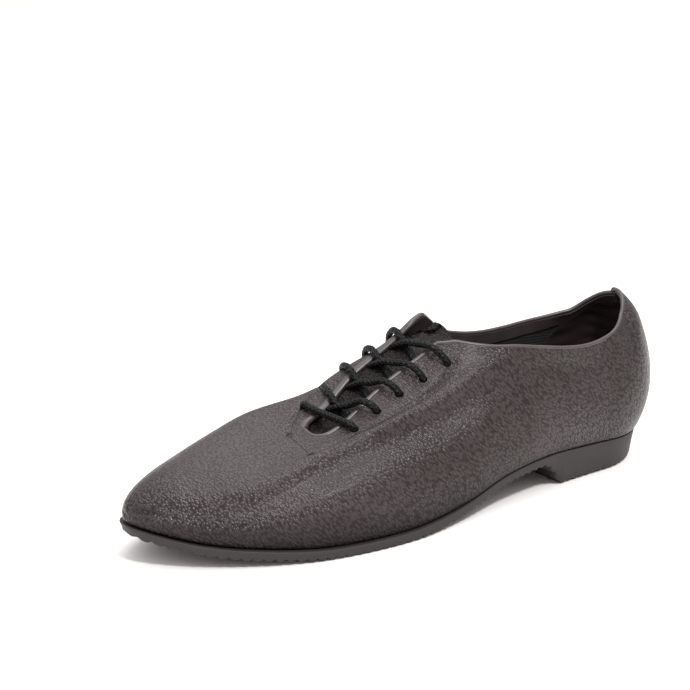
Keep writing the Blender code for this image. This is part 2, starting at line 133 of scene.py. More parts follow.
# The camera's fit to the photo: degrees, metres, and pixels of its square frame
CAMERA_TURN = 33.3
CAMERA_TIP = 17.5
CAMERA_ROLL = -1.12
CAMERA_DISTANCE = 0.596
PHOTO_SIDE = 690
FOCAL_PIXELS = 1318
SHOE_MIDDLE_PIXEL = (406, 416)
SENSOR_WIDTH = 36

OUTER = -1
INNER = 1
SIDE_NAMES = {OUTER: "outer", INNER: "inner"}

# Folds of the leather: width and height in millimetres, a trough being below zero, then the
# points it runs through, as shares of the ball's width across, the length along and the instep's
# height up, all counted from the back of the last
FOLDS = (
    # The shoulder from the toe to the collar, and the hollow under it
    (4.2, 2.3, ((-0.083, 0.936, 0.344), (-0.135, 0.907, 0.350), (-0.184, 0.878, 0.356),
                (-0.231, 0.845, 0.373), (-0.251, 0.820, 0.395), (-0.262, 0.756, 0.456),
                (-0.255, 0.700, 0.505), (-0.262, 0.656, 0.535), (-0.275, 0.576, 0.602),
                (-0.280, 0.488, 0.674), (-0.285, 0.412, 0.785), (-0.290, 0.349, 0.848))),
    (6.5, -2.9, ((-0.160, 0.920, 0.290), (-0.218, 0.884, 0.306), (-0.294, 0.830, 0.339),
                 (-0.330, 0.770, 0.398), (-0.335, 0.697, 0.462), (-0.340, 0.585, 0.535),
                 (-0.334, 0.485, 0.590), (-0.325, 0.403, 0.690))),
    (6.0, 1.0, ((0.22, 0.880, 0.40), (0.30, 0.800, 0.46), (0.33, 0.700, 0.55),
                (0.32, 0.620, 0.66), (0.30, 0.540, 0.78), (0.28, 0.460, 0.86))),
    # The toe's creases
    (1.4, -1.5, ((0.090, 0.998, 0.295), (0.034, 0.990, 0.294), (0.002, 0.983, 0.295),
                 (-0.032, 0.974, 0.290), (-0.061, 0.966, 0.281), (-0.090, 0.958, 0.266))),
    (2.2, 0.8, ((-0.010, 0.981, 0.270), (-0.037, 0.975, 0.266), (-0.066, 0.967, 0.260),
                (-0.091, 0.958, 0.254), (-0.130, 0.943, 0.246))),
    (1.1, -0.7, ((0.140, 0.999, 0.280), (0.102, 1.001, 0.268), (0.065, 0.998, 0.258))),
    # The laced edge of the inner facing, pulled down, and the swell beyond it
    (4.5, -2.2, ((0.145, 0.445, 1.02), (0.152, 0.500, 0.93), (0.155, 0.550, 0.825),
                 (0.142, 0.600, 0.715), (0.105, 0.655, 0.600))),
    (5.0, 1.0, ((0.255, 0.445, 0.98), (0.265, 0.510, 0.88), (0.255, 0.580, 0.73),
                (0.220, 0.640, 0.61))),
    # The dent beside the back seam and the soft hollow under the collar
    (2.6, -1.2, ((-0.169, 0.080, 1.009), (-0.189, 0.068, 0.931), (-0.226, 0.064, 0.874),
                 (-0.261, 0.067, 0.806), (-0.291, 0.078, 0.729))),
    (4.0, 0.9, ((-0.210, 0.110, 0.93), (-0.250, 0.100, 0.86), (-0.290, 0.110, 0.76))),
    (4.5, -0.9, ((-0.300, 0.340, 0.79), (-0.313, 0.295, 0.75), (-0.310, 0.220, 0.69),
                 (-0.305, 0.150, 0.68))),
    (9.0, -1.2, ((-0.42, 0.46, 0.32), (-0.40, 0.40, 0.36), (-0.37, 0.33, 0.40))),
    (3.0, -0.6, ((0.34, 0.66, 0.44), (0.30, 0.70, 0.52), (0.20, 0.735, 0.555))),
    (3.0, -0.5, ((0.42, 0.62, 0.30), (0.46, 0.58, 0.24), (0.46, 0.53, 0.20))),
)

# The seam that frames the throat: shares of the length along and of the ball's width across,
# from the outer facing's top round the base to the inner facing's top
OUTER_SEAM = ((0.449, -0.208), (0.467, -0.226), (0.493, -0.239), (0.522, -0.245),
              (0.557, -0.244), (0.593, -0.246), (0.622, -0.240), (0.654, -0.224),
              (0.680, -0.214), (0.706, -0.213), (0.731, -0.209))
BASE_SEAM = ((0.731, -0.209), (0.733, -0.094), (0.731, 0.038))
INNER_SEAM = ((0.731, 0.038), (0.705, 0.110), (0.665, 0.210), (0.620, 0.270), (0.565, 0.285),
              (0.510, 0.280), (0.465, 0.260))
SEAMS = ((OUTER_SEAM, 1.5 * MM, 1.2 * MM), (BASE_SEAM, 0.8 * MM, 0.5 * MM),
         (INNER_SEAM, 1.5 * MM, 1.0 * MM))
BACK_SEAM_DEPTH = 0.5 * MM


def linear(code):
    """An sRGB hex colour as linear light."""
    values = [int(code[i:i + 2], 16) / 255 for i in (1, 3, 5)]
    return tuple(v / 12.92 if v <= 0.04045 else ((v + 0.055) / 1.055) ** 2.4 for v in values)


def size(label, words, default):
    return FloatProperty(name=label, description=words, default=default, subtype="DISTANCE",
                         unit="LENGTH", precision=5)


def colour(label, words, code):
    return FloatVectorProperty(name=label, description=words, subtype="COLOR", size=3, min=0,
                               max=1, default=linear(code))


class JazzShoeSizes(bpy.types.PropertyGroup):
    length: size("Length", "Length of the last", 266 * MM)
    ball_width: size("Ball width", "Width of the last across the ball", 88 * MM)
    instep_height: size("Instep height", "Height that the crown is a share of", 80 * MM)
    back_height: size("Back height", "Height of the collar at the back seam", 84 * MM)
    heel_rise: size("Heel rise", "Lift of the heel over the forefoot", 13.5 * MM)
    toe_spring: size("Toe spring", "Lift of the toe's tip", 12.5 * MM)
    leather: size("Leather", "Thickness of the upper's leather", 1.2 * MM)
    wall: size("Wall", "Thickness of the leather with its lining", 1.8 * MM)
    belly: size("Belly", "How far the upper bulges over the sole", 4 * MM)
    belly_span: size("Belly span", "Height of the bulge", 45 * MM)
    lean: size("Collar's lean", "How far the back of the collar leans in", 4.5 * MM)
    lean_height: size("Leaning height", "Height of the leaning stretch", 14 * MM)
    margin: size("Lasting margin", "Leather turned under the insole", 9 * MM)
    lasted_radius: size("Lasted radius", "Round of the upper's lower edge", 1.3 * MM)
    base_gap: size("Throat's base", "Width of the throat at its base", 16 * MM)
    base_round: size("Base's round", "Round of the throat's base", 6.5 * MM)
    gap: size("Throat", "Width of the throat at the top", 21 * MM)
    ridge_inset: size("Ridge inset", "From the ridge to the inner facing's edge", 3 * MM)
    facing_corner: size("Facing corner", "Round of the facing's top corner", 3 * MM)
    hole_pitch: size("Hole pitch", "Between two rows of lace holes", 12.2 * MM)
    hole_skew: size("Hole skew", "Inner holes stand this far towards the toe", 6 * MM)
    hole_inset: size("Hole inset", "From a hole to its facing's edge", 8.5 * MM)
    hole_radius: size("Hole radius", "Radius of the lace holes", 1.9 * MM)
    sole: size("Sole", "Thickness of the forefoot's sole", 4.4 * MM)
    ledge: size("Ledge", "How far the sole stands out", 2 * MM)
    toe_ledge: size("Toe ledge", "How far the sole stands out at the toe", 1 * MM)
    heel_length: size("Heel length", "Length of the heel's lift", 63 * MM)
    breast_run: size("Breast run", "Slope of the heel's breast", 14 * MM)
    rib_pitch: size("Rib pitch", "Between two ribs of the tread", 4.1 * MM)
    rib_land: size("Rib land", "Flat width of a rib", 1.3 * MM)
    rib_depth: size("Rib depth", "Depth between two ribs", 1.1 * MM)
    lace_radius: size("Lace radius", "Radius of the round cord", 1.6 * MM)
    clearance: size("Clearance", "Between pieces that touch", 0.3 * MM)
    stitch_pitch: size("Stitch pitch", "Length of one stitch with its gap", 2.6 * MM)
    steps: IntProperty(name="Steps", description="Fineness of the upper's mesh", default=68,
                       min=10, max=80)


class JazzShoeColours(bpy.types.PropertyGroup):
    leather: colour("Leather", "The upper's leather", "#2c2423")
    leather_worn: colour("Worn leather", "Where the leather is rubbed", "#4a4041")
    # Painted shade: the grain's furrows and the low side of the pebbled leather are darkened towards
    # this colour.
    leather_painted_shade: colour("Deep leather", "In the leather's grain and folds", "#080607")
    rubber: colour("Rubber", "The sole's rubber", "#2c2829")
    lining: colour("Lining", "The lining's cloth", "#0c0b0d")
    cord: colour("Cord", "The lace's cord", "#0b0b0c")
    thread: colour("Thread", "The sewing thread", "#0f0d0d")
    floor: colour("Floor", "The pale floor", "#f3f0ee")


def along(table, columns, name, station):
    """A column's values at some stations, on a smooth curve through the table's rows."""
    at = np.array([row[0] for row in table])
    values = np.array([row[columns.index(name)] for row in table])
    slopes = np.gradient(values, at)
    station = np.clip(station, at[0], at[-1])
    row = np.clip(np.searchsorted(at, station, side="right") - 1, 0, len(at) - 2)
    span = at[row + 1] - at[row]
    share = (station - at[row]) / span
    level = values[row] + (values[row + 1] - values[row]) * share ** 2 * (3 - 2 * share)
    leave = slopes[row] * share * (1 - share) ** 2
    arrive = slopes[row + 1] * share ** 2 * (1 - share)
    return level + span * (leave - arrive)


def last(name, station):
    return along(LAST, LAST_COLUMNS, name, station)


def collar(name, station):
    return along(COLLAR, COLLAR_COLUMNS, name, station)


def squareness(side, station):
    """How square a side's sections are: both sides agree at the toe, where their ribs meet."""
    both = (last("outer", station) + last("inner", station)) / 2
    toward_tip = ease((station - TOE_MEETING_STATION) / (1 - TOE_MEETING_STATION))
    return last(SIDE_NAMES[side], station) * (1 - toward_tip) + both * toward_tip


def ease(share):
    share = np.clip(share, 0, 1)
    return share ** 2 * (3 - 2 * share)


def unit(vectors):
    return vectors / np.maximum(np.linalg.norm(vectors, axis=-1), 1e-12)[..., None]


def reach_along(path):
    """How far along a path each of its points lies."""
    return np.concatenate([[0], np.cumsum(np.linalg.norm(np.diff(path, axis=0), axis=1))])


def oval(width, height, sides):
    """Points round an oval, as the section of something swept."""
    turn = np.linspace(0, 2 * math.pi, sides, endpoint=False)
    return np.stack([width * np.cos(turn), height * np.sin(turn)], axis=-1)


def reworked(mesh, change):
    """Change a mesh through a bmesh."""
    work = bmesh.new()
    work.from_mesh(mesh)
    change(work)
    work.to_mesh(mesh)
    work.free()


def soft_minimum(first, second, radius):
    mix = np.clip(0.5 + (second - first) / (2 * radius), 0, 1)
    return second * (1 - mix) + first * mix - radius * mix * (1 - mix)


class Last:
    """The shoe's surfaces, worked out from its sizes, with Y counted from the last's back."""

    def __init__(self):
        self.s = bpy.context.scene.jazz_shoe

    def seat(self, station):
        s = self.s
        return s.sole + s.heel_rise * last("rise", station) + s.toe_spring * last("spring", station)

    def edge_share(self, station):
        heel_reach = 1 - np.minimum(station / HEEL_ROUND_STATION, 1)
        toe_reach = np.maximum(station - TOE_ROUND_STATION, 0) / (1 - TOE_ROUND_STATION)
        heel = np.sqrt(np.clip(1 - heel_reach ** 2, 0, 1))
        return heel * np.clip(1 - toe_reach ** 2, 0, 1) ** (TOE_POINT / 2)

    def rib_ends(self, station, side):
        s = self.s
        edge = last("centre", station) + side * last("half", station) * self.edge_share(station)
        foot = np.stack([s.ball_width * edge, s.length * station], axis=-1)
        back = np.maximum(HEEL_FAN_STATION - station, 0) / HEEL_FAN_STATION
        front = np.maximum(station - TOE_FAN_STATION, 0) / (1 - TOE_FAN_STATION)
        top = station + HEEL_FAN_PULL * back ** 2 - TOE_FAN_PULL * front ** 2
        ridge = np.stack([s.ball_width * last("ridge", top), s.length * top], axis=-1)
        return foot, ridge

    def point(self, station, side, climb):
        """Points of the upper's face: climb goes from 0, at the sole, to 1, on the ridge."""
        s = self.s
        station, climb = np.broadcast_arrays(np.asarray(station, float), np.asarray(climb, float))
        foot, ridge = self.rib_ends(station, side)
        base = self.seat(station) + s.clearance
        power = 2 / squareness(side, station)
        inward = 1 - np.clip(np.cos(climb * math.pi / 2), 0, 1) ** power
        plan = foot + (ridge - foot) * inward[..., None]
        at = plan[..., 1] / s.length
        beside = plan[..., 0] - s.ball_width * last("ridge", at)
        shoulder = last("crown", at) + last("bow", at) * (beside / s.ball_width * 2) ** 2
        crown = s.instep_height * shoulder + last("tilt", at) * beside
        rise = (crown - base) * np.sin(climb * math.pi / 2) ** power
        up = np.minimum(rise / (s.belly_span * collar("span", station)), 1)
        belly = s.belly * collar("belly", station) * BELLY_PEAK * up * (1 - up) ** 2
        belly = belly * (1 - climb ** 4)
        corner = np.clip(1 - rise / s.lasted_radius, 0, 1)
        rounding = s.lasted_radius * (1 - np.sqrt(1 - corner ** 2))
        top = s.back_height * collar(SIDE_NAMES[side], plan[..., 1] / s.length)
        leaning = np.clip(1 - (top - base - rise) / s.lean_height, 0, 1) ** 2
        ahead = (station - LEAN_STATION) / (LEAN_END_STATION - LEAN_STATION)
        lean = s.lean * leaning * (1 - ease(ahead))
        plan = plan + unit(foot - ridge) * (belly - rounding - lean)[..., None]
        return np.concatenate([plan, (base + rise)[..., None]], axis=-1)

    def margin(self, station, side, inset):
        foot, ridge = self.rib_ends(station, side)
        plan = foot + unit(ridge - foot) * inset
        height = self.seat(plan[..., 1] / self.s.length) + self.s.clearance
        return np.concatenate([plan, height[..., None]], axis=-1)

    def normal(self, station, side, climb):
        step = 1e-4
        over = self.point(station + step, side, climb) - self.point(station - step, side, climb)
        up = self.point(station, side, climb + step) - self.point(station, side, climb - step)
        return unit(np.cross(over, up) * side)

    def facing_edge(self, station, side):
        s = self.s
        inner = s.ball_width * last("ridge", station) + s.ridge_inset
        above = (THROAT_ROUND_STATION - station) * s.length
        reach = np.clip(1 - above / s.base_round, 0, 1)
        rounding = s.base_round * (1 - np.sqrt(1 - reach ** 2))
        if side == INNER:
            return inner - rounding
        up = (THROAT_BASE_STATION - station) / (THROAT_BASE_STATION - FACING_TOP_STATION)
        return inner - s.base_gap - (s.gap - s.base_gap) * ease(up / 0.5) + rounding

    def climb_where(self, station, side, leather):
        low = np.zeros_like(station)
        high = np.ones_like(station)
        for _ in range(30):
            middle = (low + high) / 2
            inside = leather(self.point(station, side, middle)) > 0
            low = np.where(inside, middle, low)
            high = np.where(inside, high, middle)
        return low

    def open_climb(self, station, side, trim=0.0):
        """Where each open rib ends, trimmed a little below the collar's and facing's edge."""
        s = self.s

        def leather(point):
            at = point[..., 1] / s.length
            below = s.back_height * collar(SIDE_NAMES[side], at) - point[..., 2] - trim
            behind = ease((THROAT_BACK_STATION - at) / 0.04) * s.ball_width
            beside = side * (point[..., 0] - self.facing_edge(at, side)) + behind - trim
            return soft_minimum(below, beside, s.facing_corner)

        return self.climb_where(station, side, leather)

    def on_top(self, station, across, lift=0.0):
        """Points over the upper's face at some places across, in metres, and their normals."""
        station, across, lift = np.broadcast_arrays(*np.atleast_1d(station, across, lift))
        ridge = self.s.ball_width * last("ridge", station)
        points = np.zeros(station.shape + (3,))
        normals = np.zeros_like(points)
        for side in (OUTER, INNER):
            here = (across >= ridge) == (side == INNER)
            if here.any():
                at, x = station[here], across[here]
                climb = self.climb_where(at, side, lambda point: side * (point[..., 0] - x))
                climb = np.minimum(climb, 0.995)
                normals[here] = self.normal(at, side, climb)
                points[here] = self.point(at, side, climb) + normals[here] * lift[here][:, None]
        return points, normals

    def row_station(self, row, share):
        s = self.s
        return FIRST_HOLE_STATION + (share * s.hole_skew / 2 - row * s.hole_pitch) / s.length

    def spot(self, row, side, inset, lift):
        """A point at some inset from a facing's edge, in one row of the lacing."""
        half = self.s.gap / 2
        share = side * (half + inset) / (half + self.s.hole_inset)
        station = self.row_station(row, share)
        across = self.facing_edge(station, side) + side * inset
        point, normal = self.on_top(station, across, lift)
        return point[0] + normal[0] * fold_height(point)[0]


def runs(*parts):
    """Stations in several runs, each given by its end and its count of steps."""
    stations = [0.0]
    for end, count, curve in parts:
        share = np.linspace(0, 1, count + 1)[1:]
        if curve == "slow":
            share = 1 - np.cos(share * math.pi / 2)
        if curve == "fast":
            share = np.sin(share * math.pi / 2)
        start = stations[-1]
        stations += list(start + (end - start) * share)
    return np.array(stations)


def rib_stations(steps):
    return runs((HEEL_ROUND_STATION, steps // 3, "slow"), (0.40, steps * 2 // 3, ""),
                (0.50, steps // 3, ""), (0.67, steps // 2, ""),
                (THROAT_BASE_STATION, steps // 4, ""),
                (1.0, steps, "fast"))


def side_rows(shoe, stations, side, count, trim=0.0):
    """Climbs of one side's rows, from the lasted corner up, and of the vamp's bridge."""
    base = stations[stations <= THROAT_BASE_STATION + 1e-9]
    vamp = stations[stations > THROAT_BASE_STATION + 1e-9]
    top = shoe.open_climb(base, side, trim)
    toward_toe = ease((vamp - THROAT_BASE_STATION) / (1 - THROAT_BASE_STATION))
    top = np.concatenate([top, top[-1] + (0.8 - top[-1]) * toward_toe])
    crown = shoe.s.instep_height * last("crown", stations) - shoe.seat(stations)
    power = squareness(side, stations) / 2
    low = []
    for share in (0.1, 0.29, 0.6, 1.0):
        lift = (share * shoe.s.lasted_radius / crown) ** power
        low.append(np.arcsin(lift) * 2 / math.pi)
    high = [low[-1] + (top - low[-1]) * row / count for row in range(1, count + 1)]
    closed = stations >= THROAT_BASE_STATION - 1e-9
    bridge = [top[closed] + (1 - top[closed]) * row / 12 for row in range(13)]
    return low + high, closed, bridge


def upper_grids(shoe, steps, rows, trim=0.0):
    """Grids of points over the whole upper, each with how it is wound."""
    stations = rib_stations(steps)
    grids = []
    for side in (OUTER, INNER):
        climbs, closed, bridge = side_rows(shoe, stations, side, rows, trim)
        lines = [shoe.margin(stations, side, inset * shoe.s.margin) for inset in (1, 0.7, 0.45)]
        lines.append(shoe.margin(stations, side, shoe.s.lasted_radius))
        lines += [shoe.point(stations, side, climb) for climb in climbs]
        grids.append((np.array(lines), side == OUTER))
        over = [shoe.point(stations[closed], side, climb) for climb in bridge]
        grids.append((np.array(over), side == OUTER))
    return grids


def fold_height(points):
    """How far the leather's folds lift or sink it at each point."""
    s = bpy.context.scene.jazz_shoe
    scale = np.array((s.ball_width, s.length, s.instep_height))
    height = np.zeros(len(points))
    for width, lift, path in FOLDS:
        path = through(np.array(path) * scale, each=5)
        nearest = np.full(len(points), 1e9)
        fade = np.zeros(len(points))
        reach = reach_along(path)
        for k in range(len(path) - 1):
            run = path[k + 1] - path[k]
            share = np.clip((points - path[k]) @ run / (run @ run), 0, 1)
            away = np.linalg.norm(points - path[k] - share[:, None] * run, axis=1)
            at = (reach[k] + share * (reach[k + 1] - reach[k])) / reach[-1]
            closer = away < nearest
            nearest = np.where(closer, away, nearest)
            fade = np.where(closer, np.sin(np.clip(at, 0.02, 0.98) * math.pi) ** 0.6, fade)
        height += lift * MM * fade * np.exp(-(nearest / (width * MM)) ** 2)
    return height


def seam_height(shoe, points):
    """The groove that the throat's seam draws in the leather."""
    height = np.zeros(len(points))
    for seam, width, depth in SEAMS:
        height -= depth * np.exp(-(seam_distance(shoe, seam, points) / width) ** 2)
    return height


def seam_distance(shoe, seam, points):
    """How far points near the throat lie from one of its seams."""
    s = shoe.s
    line = through(seam, each=4)
    path = shoe.on_top(line[:, 0], line[:, 1] * s.ball_width)[0]
    nearest = np.full(len(points), 1e3)
    close = (points[:, 1] > 0.4 * s.length) & (points[:, 1] < 0.8 * s.length)
    for k in range(len(path) - 1):
        run = path[k + 1] - path[k]
        share = np.clip((points[close] - path[k]) @ run / (run @ run), 0, 1)
        away = np.linalg.norm(points[close] - path[k] - share[:, None] * run, axis=1)
        nearest[close] = np.minimum(nearest[close], away)
    return nearest


def relief(shoe, points):
    """How far folds and seams together lift or sink the leather at each point."""
    return fold_height(points) + seam_height(shoe, points)


def mesh_of(name, grids, uv_scale=None):
    """One mesh from grids of points, its shared edges welded, wound to face outward."""
    vertices, faces, uvs = [], [], []
    first = 0
    for grid, flip in grids:
        rows, columns = grid.shape[:2]
        vertices.append(grid.reshape(-1, 3))
        index = np.arange(rows * columns).reshape(rows, columns) + first
        quads = np.stack([index[:-1, :-1], index[:-1, 1:], index[1:, 1:], index[1:, :-1]], axis=-1)
        if flip:
            quads = quads[..., ::-1]
        faces.append(quads.reshape(-1, 4))
        first += rows * columns
        over = np.linalg.norm(np.diff(grid, axis=1), axis=2)
        up = np.linalg.norm(np.diff(grid, axis=0), axis=2)
        u = np.concatenate([np.zeros((rows, 1)), np.cumsum(over, axis=1)], axis=1)
        v = np.concatenate([np.zeros((1, columns)), np.cumsum(up, axis=0)], axis=0)
        uvs.append(np.stack([u, v], axis=-1).reshape(-1, 2))
    vertices, faces, uvs = map(np.concatenate, (vertices, faces, uvs))
    mesh = bpy.data.meshes.new(name)
    mesh.from_pydata(vertices.tolist(), [], faces.tolist())
    if uv_scale:
        layer = mesh.uv_layers.new(name="UVMap")
        layer.data.foreach_set("uv", (uvs[faces.reshape(-1)] / uv_scale).reshape(-1))
    reworked(mesh, weld)
    return mesh


def weld(work):
    bmesh.ops.remove_doubles(work, verts=work.verts, dist=0.01 * MM)
    bmesh.ops.dissolve_degenerate(work, edges=work.edges, dist=0.0005 * MM)


def place(mesh):
    """Move a mesh from the last's own place to the shoe's frame."""
    mesh.transform(Matrix.Translation(Vector(LAST_PLACE)))


def add_object(name, mesh, material, slot, *nodes):
    """Link a finished piece, with its finish, its body and the CAD nodes it stands for."""
    item = bpy.data.objects.new(name, mesh)
    bpy.context.scene.collection.objects.link(item)
    mesh.materials.clear()
    mesh.materials.append(material)
    mesh.shade_smooth()
    mesh.set_sharp_from_angle(angle=math.radians(60))
    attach(item, "root")
    if nodes:
        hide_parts(*nodes)
    return item


def applied(mesh, *modifiers):
    """A mesh with modifiers made real: each is its type and its settings."""
    item = bpy.data.objects.new("work", mesh)
    bpy.context.scene.collection.objects.link(item)
    for kind, settings in modifiers:
        modifier = item.modifiers.new(kind, kind)
        for key, value in settings.items():
            setattr(modifier, key, value)
    bpy.context.view_layer.update()
    depsgraph = bpy.context.evaluated_depsgraph_get()
    result = bpy.data.meshes.new_from_object(item.evaluated_get(depsgraph))
    bpy.data.objects.remove(item, do_unlink=True)
    bpy.data.meshes.remove(mesh)
    return result


def leather_sheet(shoe, name, grids, depth, wall, uv_scale=None, extra=()):
    """A sheet of leather or cloth lying a little under the upper's face, with its wall."""
    mesh = mesh_of(name, grids, uv_scale)
    count = len(mesh.vertices)
    points = np.zeros(count * 3)
    mesh.vertices.foreach_get("co", points)
    points = points.reshape(-1, 3)
    normals = np.zeros(count * 3)
    mesh.vertices.foreach_get("normal", normals)
    normals = normals.reshape(-1, 3)
    lift = np.full(count, -depth) + relief(shoe, points)
    back = np.exp(-((points[:, 0] - 0.0004) / (0.5 * MM)) ** 2) * (points[:, 1] < 0.06)
    lift -= BACK_SEAM_DEPTH * back * (depth == 0)
    points = points + normals * lift[:, None]
    mesh.vertices.foreach_set("co", points.reshape(-1))
    solidify = ("SOLIDIFY", {"thickness": wall, "offset": -1})
    mesh = applied(mesh, solidify, *extra)
    place(mesh)
    return mesh


def swept(path, normals, profile, closed):
    """A grid swept along a path: profile gives, for each step, offsets across and up."""
    if closed:
        tangents = np.roll(path, -1, axis=0) - np.roll(path, 1, axis=0)
    else:
        tangents = np.gradient(path, axis=0)
    tangents = unit(tangents)
    across = unit(np.cross(tangents, normals))
    up = np.cross(across, tangents)
    rings = path[:, None] + across[:, None] * profile[..., 0:1] + up[:, None] * profile[..., 1:2]
    steps, sides = rings.shape[:2]
    vertices = rings.reshape(-1, 3)
    index = np.arange(steps * sides).reshape(steps, sides)
    ahead = np.roll(index, -1, axis=0) if closed else index[1:]
    here = index if closed else index[:-1]
    quads = np.stack([here, np.roll(here, -1, axis=1), np.roll(ahead, -1, axis=1), ahead], axis=-1)
    faces = quads.reshape(-1, 4).tolist()
    if not closed:
        faces += [index[0][::-1].tolist(), index[-1].tolist()]
    mesh = bpy.data.meshes.new("swept")
    mesh.from_pydata(vertices.tolist(), [], faces)
    reach = reach_along(path)
    if closed:
        reach = np.append(reach, reach[-1] + np.linalg.norm(path[0] - path[-1]))
    layer = mesh.uv_layers.new(name="UVMap")
    here = np.arange(len(quads.reshape(-1, 4)))
    step, side = here // sides, here % sides
    u = np.stack([reach[step], reach[step], reach[step + 1], reach[step + 1]], axis=-1) / MM
    v = np.stack([side, side + 1, side + 1, side], axis=-1) / sides
    values = np.zeros((len(mesh.loops), 2))
    values[:len(here) * 4] = np.stack([u, v], axis=-1).reshape(-1, 2)
    layer.data.foreach_set("uv", values.reshape(-1))
    reworked(mesh, lambda work: bmesh.ops.recalc_face_normals(work, faces=work.faces))
    return mesh


def evenly(path, spacing, closed=False, smooth=0):
    """Points at an even spacing along a smooth curve through a path."""
    path = np.asarray(path)
    if closed:
        path = np.concatenate([path, path[:1]])
    reach = reach_along(path)
    count = max(int(reach[-1] / spacing), 4)
    at = np.linspace(0, reach[-1], count + 1)
    points = np.stack([np.interp(at, reach, path[:, k]) for k in range(3)], axis=-1)
    if closed:
        points = points[:-1]
    for _ in range(smooth):
        if closed:
            points = (np.roll(points, 1, axis=0) + 2 * points + np.roll(points, -1, axis=0)) / 4
        else:
            points[1:-1] = (points[:-2] + 2 * points[1:-1] + points[2:]) / 4
    return points


def through(points, each=14):
    """A Catmull-Rom curve through a few points."""
    p = np.asarray(points, float)
    p = np.concatenate([[2 * p[0] - p[1]], p, [2 * p[-1] - p[-2]]])
    out = []
    for k in range(1, len(p) - 2):
        t = np.linspace(0, 1, each, endpoint=False)[:, None]
        out.append(0.5 * (2 * p[k] + (p[k + 1] - p[k - 1]) * t
                          + (2 * p[k - 1] - 5 * p[k] + 4 * p[k + 1] - p[k + 2]) * t ** 2
                          + (3 * p[k] - p[k - 1] - 3 * p[k + 1] + p[k + 2]) * t ** 3))
    out.append(p[-2:-1])
    return np.concatenate(out)


def level_normals(path):
    """Normals carried along a path without twisting."""
    tangents = unit(np.gradient(path, axis=0))
    normals = np.zeros_like(path)
    start = np.cross(tangents[0], (1.0, 0.0, 0.0))
    if np.linalg.norm(start) < 0.1:
        start = np.cross(tangents[0], (0.0, 1.0, 0.0))
    normals[0] = unit(start)
    for k in range(1, len(path)):
        carried = normals[k - 1] - tangents[k] * (normals[k - 1] @ tangents[k])
        normals[k] = unit(carried)
    return normals


def node(tree, kind, inputs=(), **settings):
    """Add a node with its settings, and link or set its inputs."""
    item = tree.nodes.new(kind)
    for key, value in settings.items():
        setattr(item, key, value)
    for key, value in dict(inputs).items():
        socket = item.inputs[key]
        if isinstance(value, bpy.types.NodeSocket):
            tree.links.new(value, socket)
        else:
            socket.default_value = value
    return item


def new_material(name, roughness, **sockets):
    material = bpy.data.materials.new(name)
    material.use_nodes = True
    tree = material.node_tree
    shader = tree.nodes["Principled BSDF"]
    shader.inputs["Roughness"].default_value = roughness
    for key, value in sockets.items():
        shader.inputs[key.replace("_", " ")].default_value = value
    return material, tree, shader


def colours():
    return bpy.context.scene.jazz_shoe_colours


def rgba(value):
    return (*value, 1)


